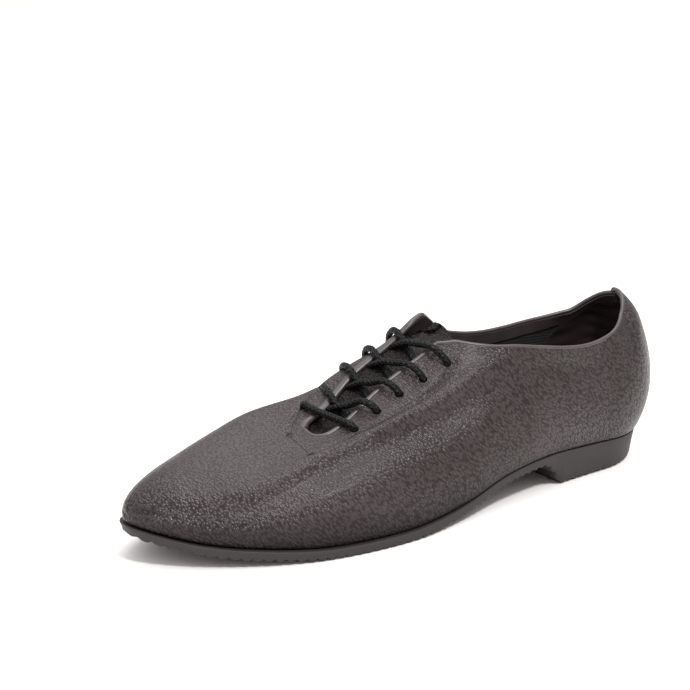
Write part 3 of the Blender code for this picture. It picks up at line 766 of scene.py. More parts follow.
def pebbled_leather(name, grain_mm, depth_mm, roughness, worn=0.5, stretch=0.62, shade=1.0):
    """Drum-dyed full-grain cow leather, tumbled so that it pebbles: small raised cells with furrows
    between them, which catch tiny glints, over a soft uneven sheen. The furrows are darkened with
    painted shade, the upper is painted darker low down with less reflection as painted shade, and the
    shade setting darkens the whole piece as painted shade."""
    material, tree, shader = new_material(name, roughness, Coat_Weight=0.04, Coat_Roughness=0.26)
    place_at = node(tree, "ShaderNodeTexCoord").outputs["Object"]
    split = node(tree, "ShaderNodeSeparateXYZ", {"Vector": place_at})
    lean = node(tree, "ShaderNodeMath", {0: split.outputs["Z"], 1: -0.6}, operation="MULTIPLY")
    slanted = node(tree, "ShaderNodeMath", {0: split.outputs["Y"], 1: lean.outputs[0]}, operation="ADD")
    short = node(tree, "ShaderNodeMath", {0: split.outputs["Z"], 1: stretch}, operation="MULTIPLY")
    pulled = node(tree, "ShaderNodeCombineXYZ", {"X": split.outputs["X"], "Y": slanted.outputs[0],
                                                 "Z": short.outputs[0]})
    wander = node(tree, "ShaderNodeTexNoise", {"Vector": pulled.outputs[0], "Scale": 500.0,
                                               "Detail": 1.0})
    shift = node(tree, "ShaderNodeVectorMath", {0: wander.outputs["Color"], 1: (0.5, 0.5, 0.5)},
                 operation="SUBTRACT")
    shift = node(tree, "ShaderNodeVectorMath", {0: shift.outputs[0], "Scale": 0.5 * grain_mm * MM},
                 operation="SCALE")
    at = node(tree, "ShaderNodeVectorMath", {0: pulled.outputs[0], 1: shift.outputs[0]},
              operation="ADD")
    cells = node(tree, "ShaderNodeTexVoronoi", {"Vector": at.outputs[0],
                                                "Scale": 1 / (grain_mm * MM), "Smoothness": 0.2},
                 feature="SMOOTH_F1")
    broad = node(tree, "ShaderNodeTexNoise", {"Vector": place_at, "Scale": 45.0, "Detail": 3.0})
    patch = node(tree, "ShaderNodeTexNoise", {"Vector": place_at, "Scale": 16.0, "Detail": 2.0})
    fine = node(tree, "ShaderNodeTexNoise", {"Vector": place_at, "Scale": 2600.0, "Detail": 2.0})
    raised = node(tree, "ShaderNodeMapRange", {"Value": cells.outputs["Distance"], "From Min": 0.1,
                                               "From Max": 0.72, "To Min": 1.0, "To Max": 0.0})
    height = node(tree, "ShaderNodeMath", {0: fine.outputs["Fac"], 1: 0.14}, operation="MULTIPLY")
    height = node(tree, "ShaderNodeMath", {0: raised.outputs[0], 1: height.outputs[0]},
                  operation="ADD")
    swell = node(tree, "ShaderNodeBump", {"Height": broad.outputs["Fac"], "Distance": 0.5 * MM,
                                          "Strength": 0.5})
    bump = node(tree, "ShaderNodeBump", {"Height": height.outputs[0], "Distance": depth_mm * MM,
                                         "Strength": 1.0, "Normal": swell.outputs[0]})
    c = colours()
    # The first two tones are the dye and its rubbed, lighter tone; the third is painted shade.
    dye_and_painted_shade = [rgba([v * shade for v in tone]) for tone in (c.leather, c.leather_worn, c.leather_painted_shade)]
    wear = node(tree, "ShaderNodeMapRange", {"Value": patch.outputs["Fac"], "From Min": 0.42,
                                             "From Max": 0.75, "To Min": 0.0, "To Max": worn})
    body = node(tree, "ShaderNodeMix", {"Factor": wear.outputs[0], "A": dye_and_painted_shade[0], "B": dye_and_painted_shade[1]},
                data_type="RGBA")
    # Painted shade: the furrows between the grain's cells are darkened towards the shade colour.
    furrow = node(tree, "ShaderNodeMapRange", {"Value": raised.outputs[0], "From Min": 0.0,
                                               "From Max": 0.5, "To Min": 0.3, "To Max": 0.0})
    # Painted shade: the upper is darkened towards the shade colour low down, most below 7 mm and fading
    # out by 22 mm.
    low = node(tree, "ShaderNodeMapRange", {"Value": split.outputs["Z"], "From Min": 7 * MM,
                                            "From Max": 22 * MM, "To Min": 0.65, "To Max": 0.0})
    body = node(tree, "ShaderNodeMix", {"Factor": low.outputs[0], "A": body.outputs["Result"],
                                        "B": dye_and_painted_shade[2]}, data_type="RGBA")
    skin = node(tree, "ShaderNodeMix", {"Factor": furrow.outputs[0], "A": body.outputs["Result"],
                                        "B": dye_and_painted_shade[2]}, data_type="RGBA")
    gloss = node(tree, "ShaderNodeMapRange", {"Value": broad.outputs["Fac"], "From Min": 0.3,
                                              "From Max": 0.7, "To Min": roughness - 0.07,
                                              "To Max": roughness + 0.08})
    polish = node(tree, "ShaderNodeMapRange", {"Value": raised.outputs[0], "From Min": 0.05,
                                               "From Max": 0.6, "To Min": 0.18 * shade,
                                               "To Max": 0.46 * shade})
    # Painted shade: the same low band also gets less reflection.
    dull = node(tree, "ShaderNodeMath", {0: 1.0, 1: low.outputs[0]}, operation="SUBTRACT")
    polish = node(tree, "ShaderNodeMath", {0: polish.outputs[0], 1: dull.outputs[0]},
                  operation="MULTIPLY")
    tree.links.new(skin.outputs["Result"], shader.inputs["Base Color"])
    tree.links.new(gloss.outputs[0], shader.inputs["Roughness"])
    tree.links.new(polish.outputs[0], shader.inputs["Specular IOR Level"])
    tree.links.new(bump.outputs[0], shader.inputs["Normal"])
    return material


def smooth_leather(name, roughness, code_share):
    """The same leather skived thin, folded and pressed flat: nearly no grain, a soft low sheen."""
    material, tree, shader = new_material(name, roughness, Coat_Weight=0.12, Coat_Roughness=0.4)
    place_at = node(tree, "ShaderNodeTexCoord").outputs["Object"]
    cells = node(tree, "ShaderNodeTexVoronoi", {"Vector": place_at, "Scale": 1100.0},
                 feature="SMOOTH_F1")
    patch = node(tree, "ShaderNodeTexNoise", {"Vector": place_at, "Scale": 120.0, "Detail": 3.0})
    bump = node(tree, "ShaderNodeBump", {"Height": cells.outputs["Distance"],
                                         "Distance": 0.08 * MM, "Strength": 0.5})
    c = colours()
    mix = node(tree, "ShaderNodeMapRange", {"Value": patch.outputs["Fac"], "From Min": 0.3,
                                            "From Max": 0.7, "To Min": code_share - 0.2,
                                            "To Max": code_share + 0.2})
    skin = node(tree, "ShaderNodeMix", {"Factor": mix.outputs[0], "A": rgba(c.leather),
                                        "B": rgba(c.leather_worn)}, data_type="RGBA")
    tree.links.new(skin.outputs["Result"], shader.inputs["Base Color"])
    tree.links.new(bump.outputs[0], shader.inputs["Normal"])
    return material


def moulded_rubber():
    """Injection-moulded thermoplastic rubber: matt, faintly cloudy with lighter, dusty patches at
    random, and with fine pits from the mould."""
    material, tree, shader = new_material("moulded thermoplastic rubber", 0.58)
    shader.inputs["Specular IOR Level"].default_value = 0.35
    place_at = node(tree, "ShaderNodeTexCoord").outputs["Object"]
    cloud = node(tree, "ShaderNodeTexNoise", {"Vector": place_at, "Scale": 38.0, "Detail": 4.0})
    pits = node(tree, "ShaderNodeTexNoise", {"Vector": place_at, "Scale": 1800.0, "Detail": 2.0})
    bump = node(tree, "ShaderNodeBump", {"Height": pits.outputs["Fac"], "Distance": 0.10 * MM,
                                         "Strength": 0.45})
    c = colours()
    dusty = tuple(min(v * 1.35, 1) for v in c.rubber)
    dark = tuple(v * 0.75 for v in c.rubber)
    skin = node(tree, "ShaderNodeMix", {"Factor": cloud.outputs["Fac"], "A": rgba(dark),
                                        "B": rgba(dusty)}, data_type="RGBA")
    gloss = node(tree, "ShaderNodeMapRange", {"Value": cloud.outputs["Fac"], "From Min": 0.3,
                                              "From Max": 0.7, "To Min": 0.5, "To Max": 0.66})
    tree.links.new(skin.outputs["Result"], shader.inputs["Base Color"])
    tree.links.new(gloss.outputs[0], shader.inputs["Roughness"])
    tree.links.new(bump.outputs[0], shader.inputs["Normal"])
    return material


def ribbed_cloth(name, rib_mm):
    """Black ribbed cotton cloth: even cords a little over a millimetre apart, matt and faintly
    fuzzy. The cords follow the piece's own UV map, in millimetres."""
    material, tree, shader = new_material(name, 0.92, Sheen_Weight=0.05, Sheen_Roughness=0.5)
    uv = node(tree, "ShaderNodeUVMap", uv_map="UVMap").outputs["UV"]
    split = node(tree, "ShaderNodeSeparateXYZ", {"Vector": uv})
    turn = node(tree, "ShaderNodeMath", {0: split.outputs["Y"], 1: 2 * math.pi / rib_mm},
                operation="MULTIPLY")
    wave = node(tree, "ShaderNodeMath", {0: turn.outputs[0]}, operation="SINE")
    cross = node(tree, "ShaderNodeMath", {0: split.outputs["X"], 1: 2 * math.pi / 0.55},
                 operation="MULTIPLY")
    thread = node(tree, "ShaderNodeMath", {0: cross.outputs[0]}, operation="SINE")
    thread = node(tree, "ShaderNodeMath", {0: thread.outputs[0], 1: 0.25}, operation="MULTIPLY")
    height = node(tree, "ShaderNodeMath", {0: wave.outputs[0], 1: thread.outputs[0]},
                  operation="ADD")
    bump = node(tree, "ShaderNodeBump", {"Height": height.outputs[0], "Distance": 0.16 * MM,
                                         "Strength": 0.8})
    c = colours()
    lit = tuple(v * 1.7 + 0.002 for v in c.lining)
    share = node(tree, "ShaderNodeMapRange", {"Value": height.outputs[0], "From Min": -1.0,
                                              "From Max": 1.1})
    skin = node(tree, "ShaderNodeMix", {"Factor": share.outputs[0], "A": rgba(c.lining),
                                        "B": rgba(lit)}, data_type="RGBA")
    tree.links.new(skin.outputs["Result"], shader.inputs["Base Color"])
    tree.links.new(bump.outputs[0], shader.inputs["Normal"])
    return material


def braided_cord():
    """Braided polyester cord with a faint sheen: crossing bundles of thread on a spiral, which
    follow the cord's UV map, U in millimetres along it and V once round."""
    material, tree, shader = new_material("braided polyester cord", 0.38, Specular_IOR_Level=0.16)
    uv = node(tree, "ShaderNodeUVMap", uv_map="UVMap").outputs["UV"]
    split = node(tree, "ShaderNodeSeparateXYZ", {"Vector": uv})
    along_it = node(tree, "ShaderNodeMath", {0: split.outputs["X"], 1: 2 * math.pi / 2.4},
                    operation="MULTIPLY")
    round_it = node(tree, "ShaderNodeMath", {0: split.outputs["Y"], 1: 2 * math.pi * 4},
                    operation="MULTIPLY")
    one = node(tree, "ShaderNodeMath", {0: along_it.outputs[0], 1: round_it.outputs[0]},
               operation="ADD")
    two = node(tree, "ShaderNodeMath", {0: along_it.outputs[0], 1: round_it.outputs[0]},
               operation="SUBTRACT")
    one = node(tree, "ShaderNodeMath", {0: one.outputs[0]}, operation="SINE")
    two = node(tree, "ShaderNodeMath", {0: two.outputs[0]}, operation="SINE")
    height = node(tree, "ShaderNodeMath", {0: one.outputs[0], 1: two.outputs[0]},
                  operation="MAXIMUM")
    bump = node(tree, "ShaderNodeBump", {"Height": height.outputs[0], "Distance": 0.22 * MM,
                                         "Strength": 0.9})
    c = colours()
    lit = tuple(v * 1.5 for v in c.cord)
    share = node(tree, "ShaderNodeMapRange", {"Value": height.outputs[0], "From Min": 0.2,
                                              "From Max": 1.0})
    skin = node(tree, "ShaderNodeMix", {"Factor": share.outputs[0], "A": rgba(c.cord),
                                        "B": rgba(lit)}, data_type="RGBA")
    tree.links.new(skin.outputs["Result"], shader.inputs["Base Color"])
    tree.links.new(bump.outputs[0], shader.inputs["Normal"])
    return material


def sewing_thread():
    """Bonded nylon sewing thread: a tight twist with a dull gloss."""
    material, tree, shader = new_material("bonded nylon thread", 0.5)
    place_at = node(tree, "ShaderNodeTexCoord").outputs["Object"]
    twist = node(tree, "ShaderNodeTexNoise", {"Vector": place_at, "Scale": 2500.0})
    bump = node(tree, "ShaderNodeBump", {"Height": twist.outputs["Fac"], "Distance": 0.1 * MM,
                                         "Strength": 0.5})
    shader.inputs["Base Color"].default_value = rgba(colours().thread)
    tree.links.new(bump.outputs[0], shader.inputs["Normal"])
    return material


def shared(name, make, *values):
    """A material made once and used by several pieces."""
    return bpy.data.materials.get(name) or make(*values)


def upper_skin():
    return shared("pebbled cow leather", pebbled_leather, "pebbled cow leather", 1.05, 0.3, 0.33)


def folded_skin():
    return shared("folded thin leather", smooth_leather, "folded thin leather", 0.36, 0.35)


def lining_cloth():
    return shared("ribbed cotton lining", ribbed_cloth, "ribbed cotton lining", 1.5)


def edge_path(shoe, trim, depth):
    """The closed line of the upper's open edge, with the face's normals along it."""
    stations = rib_stations(shoe.s.steps * 2)
    stations = stations[stations <= THROAT_BASE_STATION + 1e-9]
    lines, normals = [], []
    for side, order in ((OUTER, slice(None, None, -1)), (INNER, slice(1, None))):
        climb = shoe.open_climb(stations, side, trim)
        normal = shoe.normal(stations, side, climb)
        point = shoe.point(stations, side, climb) - normal * depth
        lines.append(point[order])
        normals.append(normal[order])
    base = shoe.facing_edge(THROAT_BASE_STATION, OUTER)
    far = shoe.facing_edge(THROAT_BASE_STATION, INNER)
    across = np.linspace(far - trim, base + trim, 26)[1:-1]
    point, normal = shoe.on_top(np.full(24, THROAT_BASE_STATION), across, -depth)
    lines.append(point)
    normals.append(normal)
    lines, normals = np.concatenate(lines), np.concatenate(normals)
    return lines + normals * relief(shoe, lines)[:, None], normals


class JAZZ_OT_upper(bpy.types.Operator):
    """Lay the pebbled leather of the whole-cut upper over the last, with its folds and holes"""
    bl_idname = "jazz_shoe.upper"
    bl_label = "Upper"

    def execute(self, context):
        shoe = Last()
        grids = upper_grids(shoe, shoe.s.steps, shoe.s.steps + 12)
        mesh = punched_sheet(shoe, "upper_leather", grids, 0, shoe.s.leather)
        add_object("upper_leather", mesh, upper_skin(), "upper_leather", "upper")
        return {"FINISHED"}


def hole_cutter(shoe):
    """Round punches through both facings, in the last's own place."""
    work = bmesh.new()
    for row in range(HOLE_ROWS):
        for side in (OUTER, INNER):
            station = shoe.row_station(row, side)
            across = shoe.facing_edge(station, side) + side * shoe.s.hole_inset
            point, normal = shoe.on_top(station, across)
            turn = Vector(normal[0]).to_track_quat("Z", "Y").to_matrix().to_4x4()
            bmesh.ops.create_cone(work, cap_ends=True, segments=20, radius1=shoe.s.hole_radius,
                                  radius2=shoe.s.hole_radius, depth=12 * MM,
                                  matrix=Matrix.Translation(Vector(point[0])) @ turn)
    mesh = bpy.data.meshes.new("hole_cutter")
    work.to_mesh(mesh)
    work.free()
    cutter = bpy.data.objects.new("hole_cutter", mesh)
    bpy.context.scene.collection.objects.link(cutter)
    return cutter


def punched_sheet(shoe, name, grids, depth, wall, uv_scale=None):
    """A sheet over the last with the lace holes punched through it."""
    cutter = hole_cutter(shoe)
    holes = ("BOOLEAN", {"operation": "DIFFERENCE", "object": cutter})
    mesh = leather_sheet(shoe, name, grids, depth, wall, uv_scale, extra=(holes,))
    bpy.data.objects.remove(cutter, do_unlink=True)
    return mesh


class JAZZ_OT_lining(bpy.types.Operator):
    """Line the upper with ribbed cloth, and turn a band of leather over the collar's inside"""
    bl_idname = "jazz_shoe.lining"
    bl_label = "Lining"

    def execute(self, context):
        shoe = Last()
        s = shoe.s
        grids = upper_grids(shoe, s.steps * 2 // 3, s.steps * 2 // 3, trim=1.2 * MM)
        mesh = punched_sheet(shoe, "upper_lining", grids, s.leather + 0.05 * MM, 0.5 * MM, MM)
        add_object("upper_lining", mesh, lining_cloth(), "lining_cloth")
        stations = rib_stations(s.steps)
        stations = stations[stations <= BAND_END_STATION]
        grids = []
        for side in (OUTER, INNER):
            high = shoe.open_climb(stations, side, BAND_TOP)
            low = shoe.open_climb(stations, side, BAND_FOOT)
            rows = [shoe.point(stations, side, low + (high - low) * k / 6) for k in range(7)]
            grids.append((np.array(rows), side == OUTER))
        mesh = leather_sheet(shoe, "collar_band", grids, s.wall, 0.7 * MM)
        add_object("collar_band", mesh, folded_skin(), "upper_leather")
        return {"FINISHED"}


class JAZZ_OT_edges(bpy.types.Operator):
    """Fold the leather round the collar, the facings and the throat's base into a soft edge"""
    bl_idname = "jazz_shoe.edges"
    bl_label = "Folded edge"

    def execute(self, context):
        shoe = Last()
        path, normals = edge_path(shoe, 0.35 * MM, shoe.s.wall * 0.5)
        count = len(path)
        path = evenly(path, 0.8 * MM, closed=True, smooth=3)
        at = np.linspace(0, count, len(path), endpoint=False)
        normals = np.concatenate([normals, normals[:1]])
        where = np.clip(at.astype(int), 0, count - 1)
        normals = unit(normals[where])
        for _ in range(6):
            normals = unit(np.roll(normals, 1, axis=0) + normals + np.roll(normals, -1, axis=0))
        profile = oval(EDGE_HALF_WIDTH, EDGE_HALF_HEIGHT, 12)
        laced = ease((path[:, 1] / shoe.s.length - 0.40) / 0.06)
        profile = profile * (1 + 0.35 * laced)[:, None, None]
        middle = last("ridge", path[:, 1] / shoe.s.length) * shoe.s.ball_width
        profile[..., 0] *= (1 + 0.7 * laced * (path[:, 0] > middle))[:, None]
        mesh = swept(path, normals, profile, True)
        place(mesh)
        add_object("folded_edge", mesh, folded_skin(), "upper_leather")
        return {"FINISHED"}


class JAZZ_OT_tongue(bpy.types.Operator):
    """Lay the tongue under the facings, sunk a little towards the outer side"""
    bl_idname = "jazz_shoe.tongue"
    bl_label = "Tongue"

    def execute(self, context):
        shoe = Last()
        s = shoe.s
        stations = np.linspace(TONGUE_TOP_STATION, THROAT_BASE_STATION + 0.02, 70)
        past_top = np.minimum((stations - TONGUE_TOP_STATION) * s.length / TONGUE_CORNER, 1)
        narrow = 0.7 + 0.3 * np.sqrt(1 - (1 - past_top) ** 2)
        sink = s.wall + 2 * s.clearance
        columns = []
        for share in np.linspace(-1, 1, 36):
            left = shoe.facing_edge(stations, OUTER) - TONGUE_OVERLAP
            right = shoe.facing_edge(stations, INNER) + TONGUE_OVERLAP
            across = left + (right - left) * (share * narrow + 1) / 2
            deep = sink + 1.2 * MM + 4.2 * MM * (1 - share) / 2 + 0.8 * MM * (1 - share ** 2)
            deep = deep + TONGUE_DIP * (1 - ease((stations - TONGUE_TOP_STATION) / 0.07))
            columns.append(shoe.on_top(stations, across, -deep)[0])
        grid = np.array(columns)
        mesh = mesh_of("tongue_leather", [(grid, False)])
        mesh = applied(mesh, ("SOLIDIFY", {"thickness": TONGUE_LEATHER, "offset": -1}))
        place(mesh)
        # Painted shade: the tongue's colours and reflection are scaled to 0.4, standing in for the
        # shadow in the throat's gap.
        skin = shared("soft tongue leather", pebbled_leather, "soft tongue leather", 1.4, 0.5, 0.42,
                      0.1, 0.62, 0.4)
        add_object("tongue_leather", mesh, skin, "upper_leather", "tongue")
        return {"FINISHED"}


class JAZZ_OT_insole(bpy.types.Operator):
    """Lay the cloth-covered sock over the lasted margin"""
    bl_idname = "jazz_shoe.insole"
    bl_label = "Insole"

    def execute(self, context):
        shoe = Last()
        s = shoe.s
        stations = rib_stations(s.steps)
        left = shoe.margin(stations, OUTER, 3 * MM)
        right = shoe.margin(stations, INNER, 3 * MM)
        rows = []
        for share in np.linspace(0, 1, 15):
            points = left * (1 - share) + right * share
            cup = 0.5 * MM * abs(2 * share - 1) ** 3
            points[:, 2] = shoe.seat(points[:, 1] / s.length) + 2 * s.clearance + s.wall + 2 * MM + cup
            rows.append(points)
        mesh = mesh_of("insole_sock", [(np.array(rows), True)], MM)
        mesh = applied(mesh, ("SOLIDIFY", {"thickness": 1.9 * MM, "offset": -1}))
        place(mesh)
        add_object("insole_sock", mesh, lining_cloth(), "lining_cloth", "insole")
        return {"FINISHED"}


def wrinkle(work):
    """Small soft wrinkles, as in padded lining leather."""
    for vertex in work.verts:
        x, y, z = vertex.co / MM
        ripple = math.sin(z * 0.9 + math.sin(x * 0.25) * 2.2) * math.sin(y * 0.12 + x * 0.07)
        vertex.co += vertex.normal * GRIP_RIPPLE * ripple


class JAZZ_OT_heel_grip(bpy.types.Operator):
    """Pad the inside of the heel with a wrinkled leather patch, and bind the back seam's top"""
    bl_idname = "jazz_shoe.heel_grip"
    bl_label = "Heel grip"

    def execute(self, context):
        shoe = Last()
        s = shoe.s
        stations = runs((GRIP_END_STATION, 34, "slow"))
        grids = []
        for side in (OUTER, INNER):
            rows = []
            for k in range(31):
                at = stations * (0.72 + 0.4 * math.sin(math.pi * k / 30))
                high = shoe.open_climb(at, side, GRIP_TOP)
                low = shoe.open_climb(at, side, GRIP_FOOT)
                rows.append(shoe.point(at, side, low + (high - low) * k / 30))
            grids.append((np.array(rows), side == OUTER))
        mesh = leather_sheet(shoe, "heel_grip", grids, s.wall, 0.9 * MM)
        reworked(mesh, wrinkle)
        patch = shared("padded lining leather", smooth_leather, "padded lining leather", 0.24, -0.5)
        add_object("heel_grip", mesh, patch, "lining_cloth")
        climb = float(shoe.open_climb(np.array([0.0]), OUTER, 0.0)[0])
        steps = np.linspace(-1, 1, 25)
        path, normals = [], []
        for step in steps:
            down = climb - 0.022 * abs(step)
            normal = shoe.normal(np.array(0.0), OUTER, np.array(down))
            depth = -0.35 * MM if step < -0.12 else s.wall + 0.45 * MM
            if abs(step) <= 0.12:
                depth = s.wall * 0.5
                down = climb + 0.001
            path.append(shoe.point(np.array(0.0), OUTER, np.array(down)) - normal * depth)
        path = evenly(path, 0.5 * MM, smooth=6)
        normals = np.tile((1.0, 0.0, 0.0), (len(path), 1))
        shape = oval(0.3 * MM, 1.5 * MM, 16)
        mesh = swept(path, normals, np.broadcast_to(shape, (len(path), 16, 2)), False)
        place(mesh)
        tape = shared("woven binding tape", ribbed_cloth, "woven binding tape", 0.8)
        add_object("back_tab", mesh, tape, "lining_cloth")
        path, normals = edge_path(shoe, 1.7 * MM, s.wall + 0.3 * MM)
        back = path[:, 1] < PIPING_END_STATION * s.length
        shape = np.broadcast_to(oval(PIPING_RADIUS, PIPING_RADIUS, 16), (back.sum(), 16, 2))
        mesh = swept(path[back], normals[back], shape, False)
        place(mesh)
        add_object("collar_piping", mesh, tape, "lining_cloth")
        return {"FINISHED"}


def rib_profile(s):
    """Stations along the sole, each with how far it is cut up between two ribs."""
    count = int(s.length / s.rib_pitch)
    slack = (s.length - count * s.rib_pitch) / 2
    slope = (s.rib_pitch - s.rib_land) / 2
    places = [(0.0003, 0.6), (0.0012, 0.4), (0.003, 0.2)]
    for rib in range(count):
        valley = slack + rib * s.rib_pitch
        if rib > 0:
            places.append((valley / s.length, 1.0))
        for share, cut in ((0.12, 0.93), (0.55, 0.45), (0.9, 0.06), (1.1, 0.0)):
            places.append(((valley + slope * share) / s.length, cut))
        for share, cut in ((1.1, 0.0), (0.9, 0.06), (0.55, 0.45), (0.12, 0.93)):
            places.append(((valley + s.rib_pitch - slope * share) / s.length, cut))
    places += [(0.9975, 0.2), (0.999, 0.4), (0.9997, 0.6)]
    return np.array(sorted(places))


def close_ends(work):
    bmesh.ops.holes_fill(work, edges=[e for e in work.edges if e.is_boundary], sides=0)
    bmesh.ops.recalc_face_normals(work, faces=work.faces)


class JAZZ_OT_outsole(bpy.types.Operator):
    """Mould the sole in one piece, with its low heel, thin edge and sawtooth ribs"""
    bl_idname = "jazz_shoe.outsole"
    bl_label = "Outsole"

    def execute(self, context):
        shoe = Last()
        s = shoe.s
        places = rib_profile(s)
        station, cut = places[:, 0], places[:, 1]
        seat = shoe.seat(station)
        past_heel = (station * s.length - s.heel_length) / s.breast_run
        flat = (seat - s.sole) * np.sin(np.clip(past_heel, 0, 1) * math.pi / 2)
        tread = flat + s.rib_depth * cut
        heel = 1 - ease(past_heel)
        ledge = s.ledge * ease((station - 0.35) / 0.25) - 0.4 * MM * heel
        radius = np.minimum(SOLE_EDGE_ROUND + HEEL_EDGE_ROUND * heel, (seat - flat) * 0.6)
        brow = flat + np.maximum(radius, s.rib_depth + 0.25 * MM)
        taper = HEEL_TAPER * heel
        top = station * (s.length + s.toe_ledge)
        low = 1.8 * MM + station * (s.length + s.toe_ledge - 2.7 * MM)
        round_top = np.minimum(0.5 * MM, (seat - flat) * 0.2)
        levels = [(seat, ledge - 6 * MM, top), (seat, ledge - round_top * 1.2, top),
                  (seat - round_top * 0.3, ledge - round_top * 0.3, top),
                  (seat - round_top, ledge, top)]
        middle = (seat - round_top + brow) * 0.5
        levels.append((middle, ledge - taper * 0.4 - 0.12 * MM, (top + low) / 2))
        levels.append((brow, ledge - taper * 0.8, low))
        levels.append((tread + (brow - tread) * 0.5, ledge - taper * 0.9 - radius * 0.13, low))
        levels.append((tread + (brow - tread) * 0.15, ledge - taper - radius * 0.4, low))
        levels.append((tread, ledge - taper - radius * 0.9, low))
        levels.append((tread, ledge - taper - 7 * MM, low))
        rings = []
        for side in (OUTER, INNER):
            for height, outset, spread in levels:
                share = last("half", station) * shoe.edge_share(station)
                reach = np.maximum(s.ball_width * share + outset, 0.05 * MM)
                x = s.ball_width * last("centre", station) + side * reach
                rings.append(np.stack([x, spread, height], axis=-1))
        order = list(range(len(levels))) + list(range(2 * len(levels) - 1, len(levels) - 1, -1))
        grid = np.array([rings[k] for k in order] + [rings[order[0]]])
        mesh = mesh_of("outsole_rubber", [(grid, False)])
        reworked(mesh, close_ends)
        place(mesh)
        add_object("outsole_rubber", mesh, moulded_rubber(), "rubber_sole", "outsole")
        return {"FINISHED"}


def lace_route(shoe):
    """The whole cord, from one hidden end at the top, down to the bar and back up."""
    s = shoe.s
    r = s.lace_radius
    under = -(s.wall + 1.2 * r)
    whole = s.gap + 2 * s.hole_inset
    ways = {}
    for side in (OUTER, INNER):
        strand = []
        here = side
        for row in range(1, HOLE_ROWS):
            here = -here
            start = ((0.04, under), (0.16, under), (0.27, under + 0.3 * r))
            if here == OUTER:
                levels = start + ((0.5, -0.3 * r), (0.66, 0.5 * r), (0.76, 1.9 * r),
                                  (0.84, 2.7 * r), (0.92, 2.2 * r), (0.98, 1.0 * r), (1.0, 0.0))
            else:
                levels = start + ((0.5, -2.5 * r), (0.68, 0.1 * r), (0.76, 1.2 * r),
                                  (0.82, 1.35 * r), (0.89, 1.0 * r), (0.95, 0.3 * r), (1.0, -0.8 * r))
            for share, level in levels:
                inset = s.hole_inset - (1 - share) * whole
                strand.append(shoe.spot(row - 1 + share, here, inset, level))
            strand.append(shoe.spot(row, here, s.hole_inset, under * 0.85))
        strand.append(shoe.spot(HOLE_ROWS - 0.75, here, s.hole_inset - 3 * MM, under - 0.4 * MM))
        ways[side] = strand
    bar = {}
    for side in (OUTER, INNER):
        bar[side] = [shoe.spot(0, side, s.hole_inset, under * 0.85),
                     shoe.spot(0, side, s.hole_inset, 0.1 * r),
                     shoe.spot(0, side, s.hole_inset - 1.6 * MM, 1.25 * r),
                     shoe.spot(0, side, 1.5 * MM, 1.3 * r)]
    middle = [shoe.spot(0, OUTER, -s.gap / 2 + 1 * MM, 1.1 * r)]
    return ways[OUTER][::-1] + bar[OUTER] + middle + bar[INNER][::-1] + ways[INNER]


class JAZZ_OT_lace(bpy.types.Operator):
    """Run one braided cord over the first holes and, crossing, up through all the others"""
    bl_idname = "jazz_shoe.lace"
    bl_label = "Lace"

    def execute(self, context):
        shoe = Last()
        r = shoe.s.lace_radius
        path = evenly(through(lace_route(shoe)), CORD_SPACING, smooth=3)
        normals = level_normals(path)
        sides = 18
        reach = np.arange(len(path)) * 0.42
        turn = np.linspace(0, 2 * math.pi, sides, endpoint=False)
        one = np.sin(reach[:, None] * 2 * math.pi / 3.4 + turn * 3)
        two = np.sin(reach[:, None] * 2 * math.pi / 3.4 - turn * 3)
        braid = r * (0.93 + 0.07 * np.maximum(one, two))
        profile = np.stack([braid * np.cos(turn), braid * np.sin(turn)], axis=-1)
        mesh = swept(path, normals, profile, False)
        place(mesh)
        nodes = ["lace_bar"] + [f"lace_cross_{row}" for row in range(2, HOLE_ROWS + 1)]
        add_object("lace", mesh, braided_cord(), "lace_cord", *nodes)
        return {"FINISHED"}


def stitch_tree():
    """Geometry nodes that sew a row of stitches along a curve."""
    tree = bpy.data.node_groups.new("stitch_row", "GeometryNodeTree")
    sockets = tree.interface
    sockets.new_socket("Geometry", in_out="INPUT", socket_type="NodeSocketGeometry")
    sockets.new_socket("Geometry", in_out="OUTPUT", socket_type="NodeSocketGeometry")
    for name, value in (("Pitch", 2.6 * MM), ("Stitch length", 2.0 * MM), ("Thread radius", 0.3 * MM)):
        socket = sockets.new_socket(name, in_out="INPUT", socket_type="NodeSocketFloat")
        socket.default_value = value
    sockets.new_socket("Thread", in_out="INPUT", socket_type="NodeSocketMaterial")
    start = tree.nodes.new("NodeGroupInput")
    end = tree.nodes.new("NodeGroupOutput")
    points = node(tree, "GeometryNodeCurveToPoints",
                  {"Curve": start.outputs["Geometry"], "Length": start.outputs["Pitch"]},
                  mode="LENGTH")
    bead = node(tree, "GeometryNodeMeshUVSphere", {"Segments": 8, "Rings": 6, "Radius": 1.0})
    half = node(tree, "ShaderNodeMath", {0: start.outputs["Stitch length"], 1: 0.5},
                operation="MULTIPLY")
    scale = node(tree, "ShaderNodeCombineXYZ", {"X": start.outputs["Thread radius"],
                                                "Y": start.outputs["Thread radius"],
                                                "Z": half.outputs[0]})
    stitch = node(tree, "GeometryNodeTransform", {"Geometry": bead.outputs["Mesh"],
                                                  "Scale": scale.outputs[0]})
    turn = node(tree, "FunctionNodeAlignRotationToVector", {"Vector": points.outputs["Tangent"]},
                axis="Z")
    row = node(tree, "GeometryNodeInstanceOnPoints",
               {"Points": points.outputs["Points"], "Instance": stitch.outputs[0],
                "Rotation": turn.outputs[0]})
    real = node(tree, "GeometryNodeRealizeInstances", {"Geometry": row.outputs[0]})
    dyed = node(tree, "GeometryNodeSetMaterial", {"Geometry": real.outputs[0],
                                                  "Material": start.outputs["Thread"]})
    tree.links.new(dyed.outputs[0], end.inputs["Geometry"])
    return tree


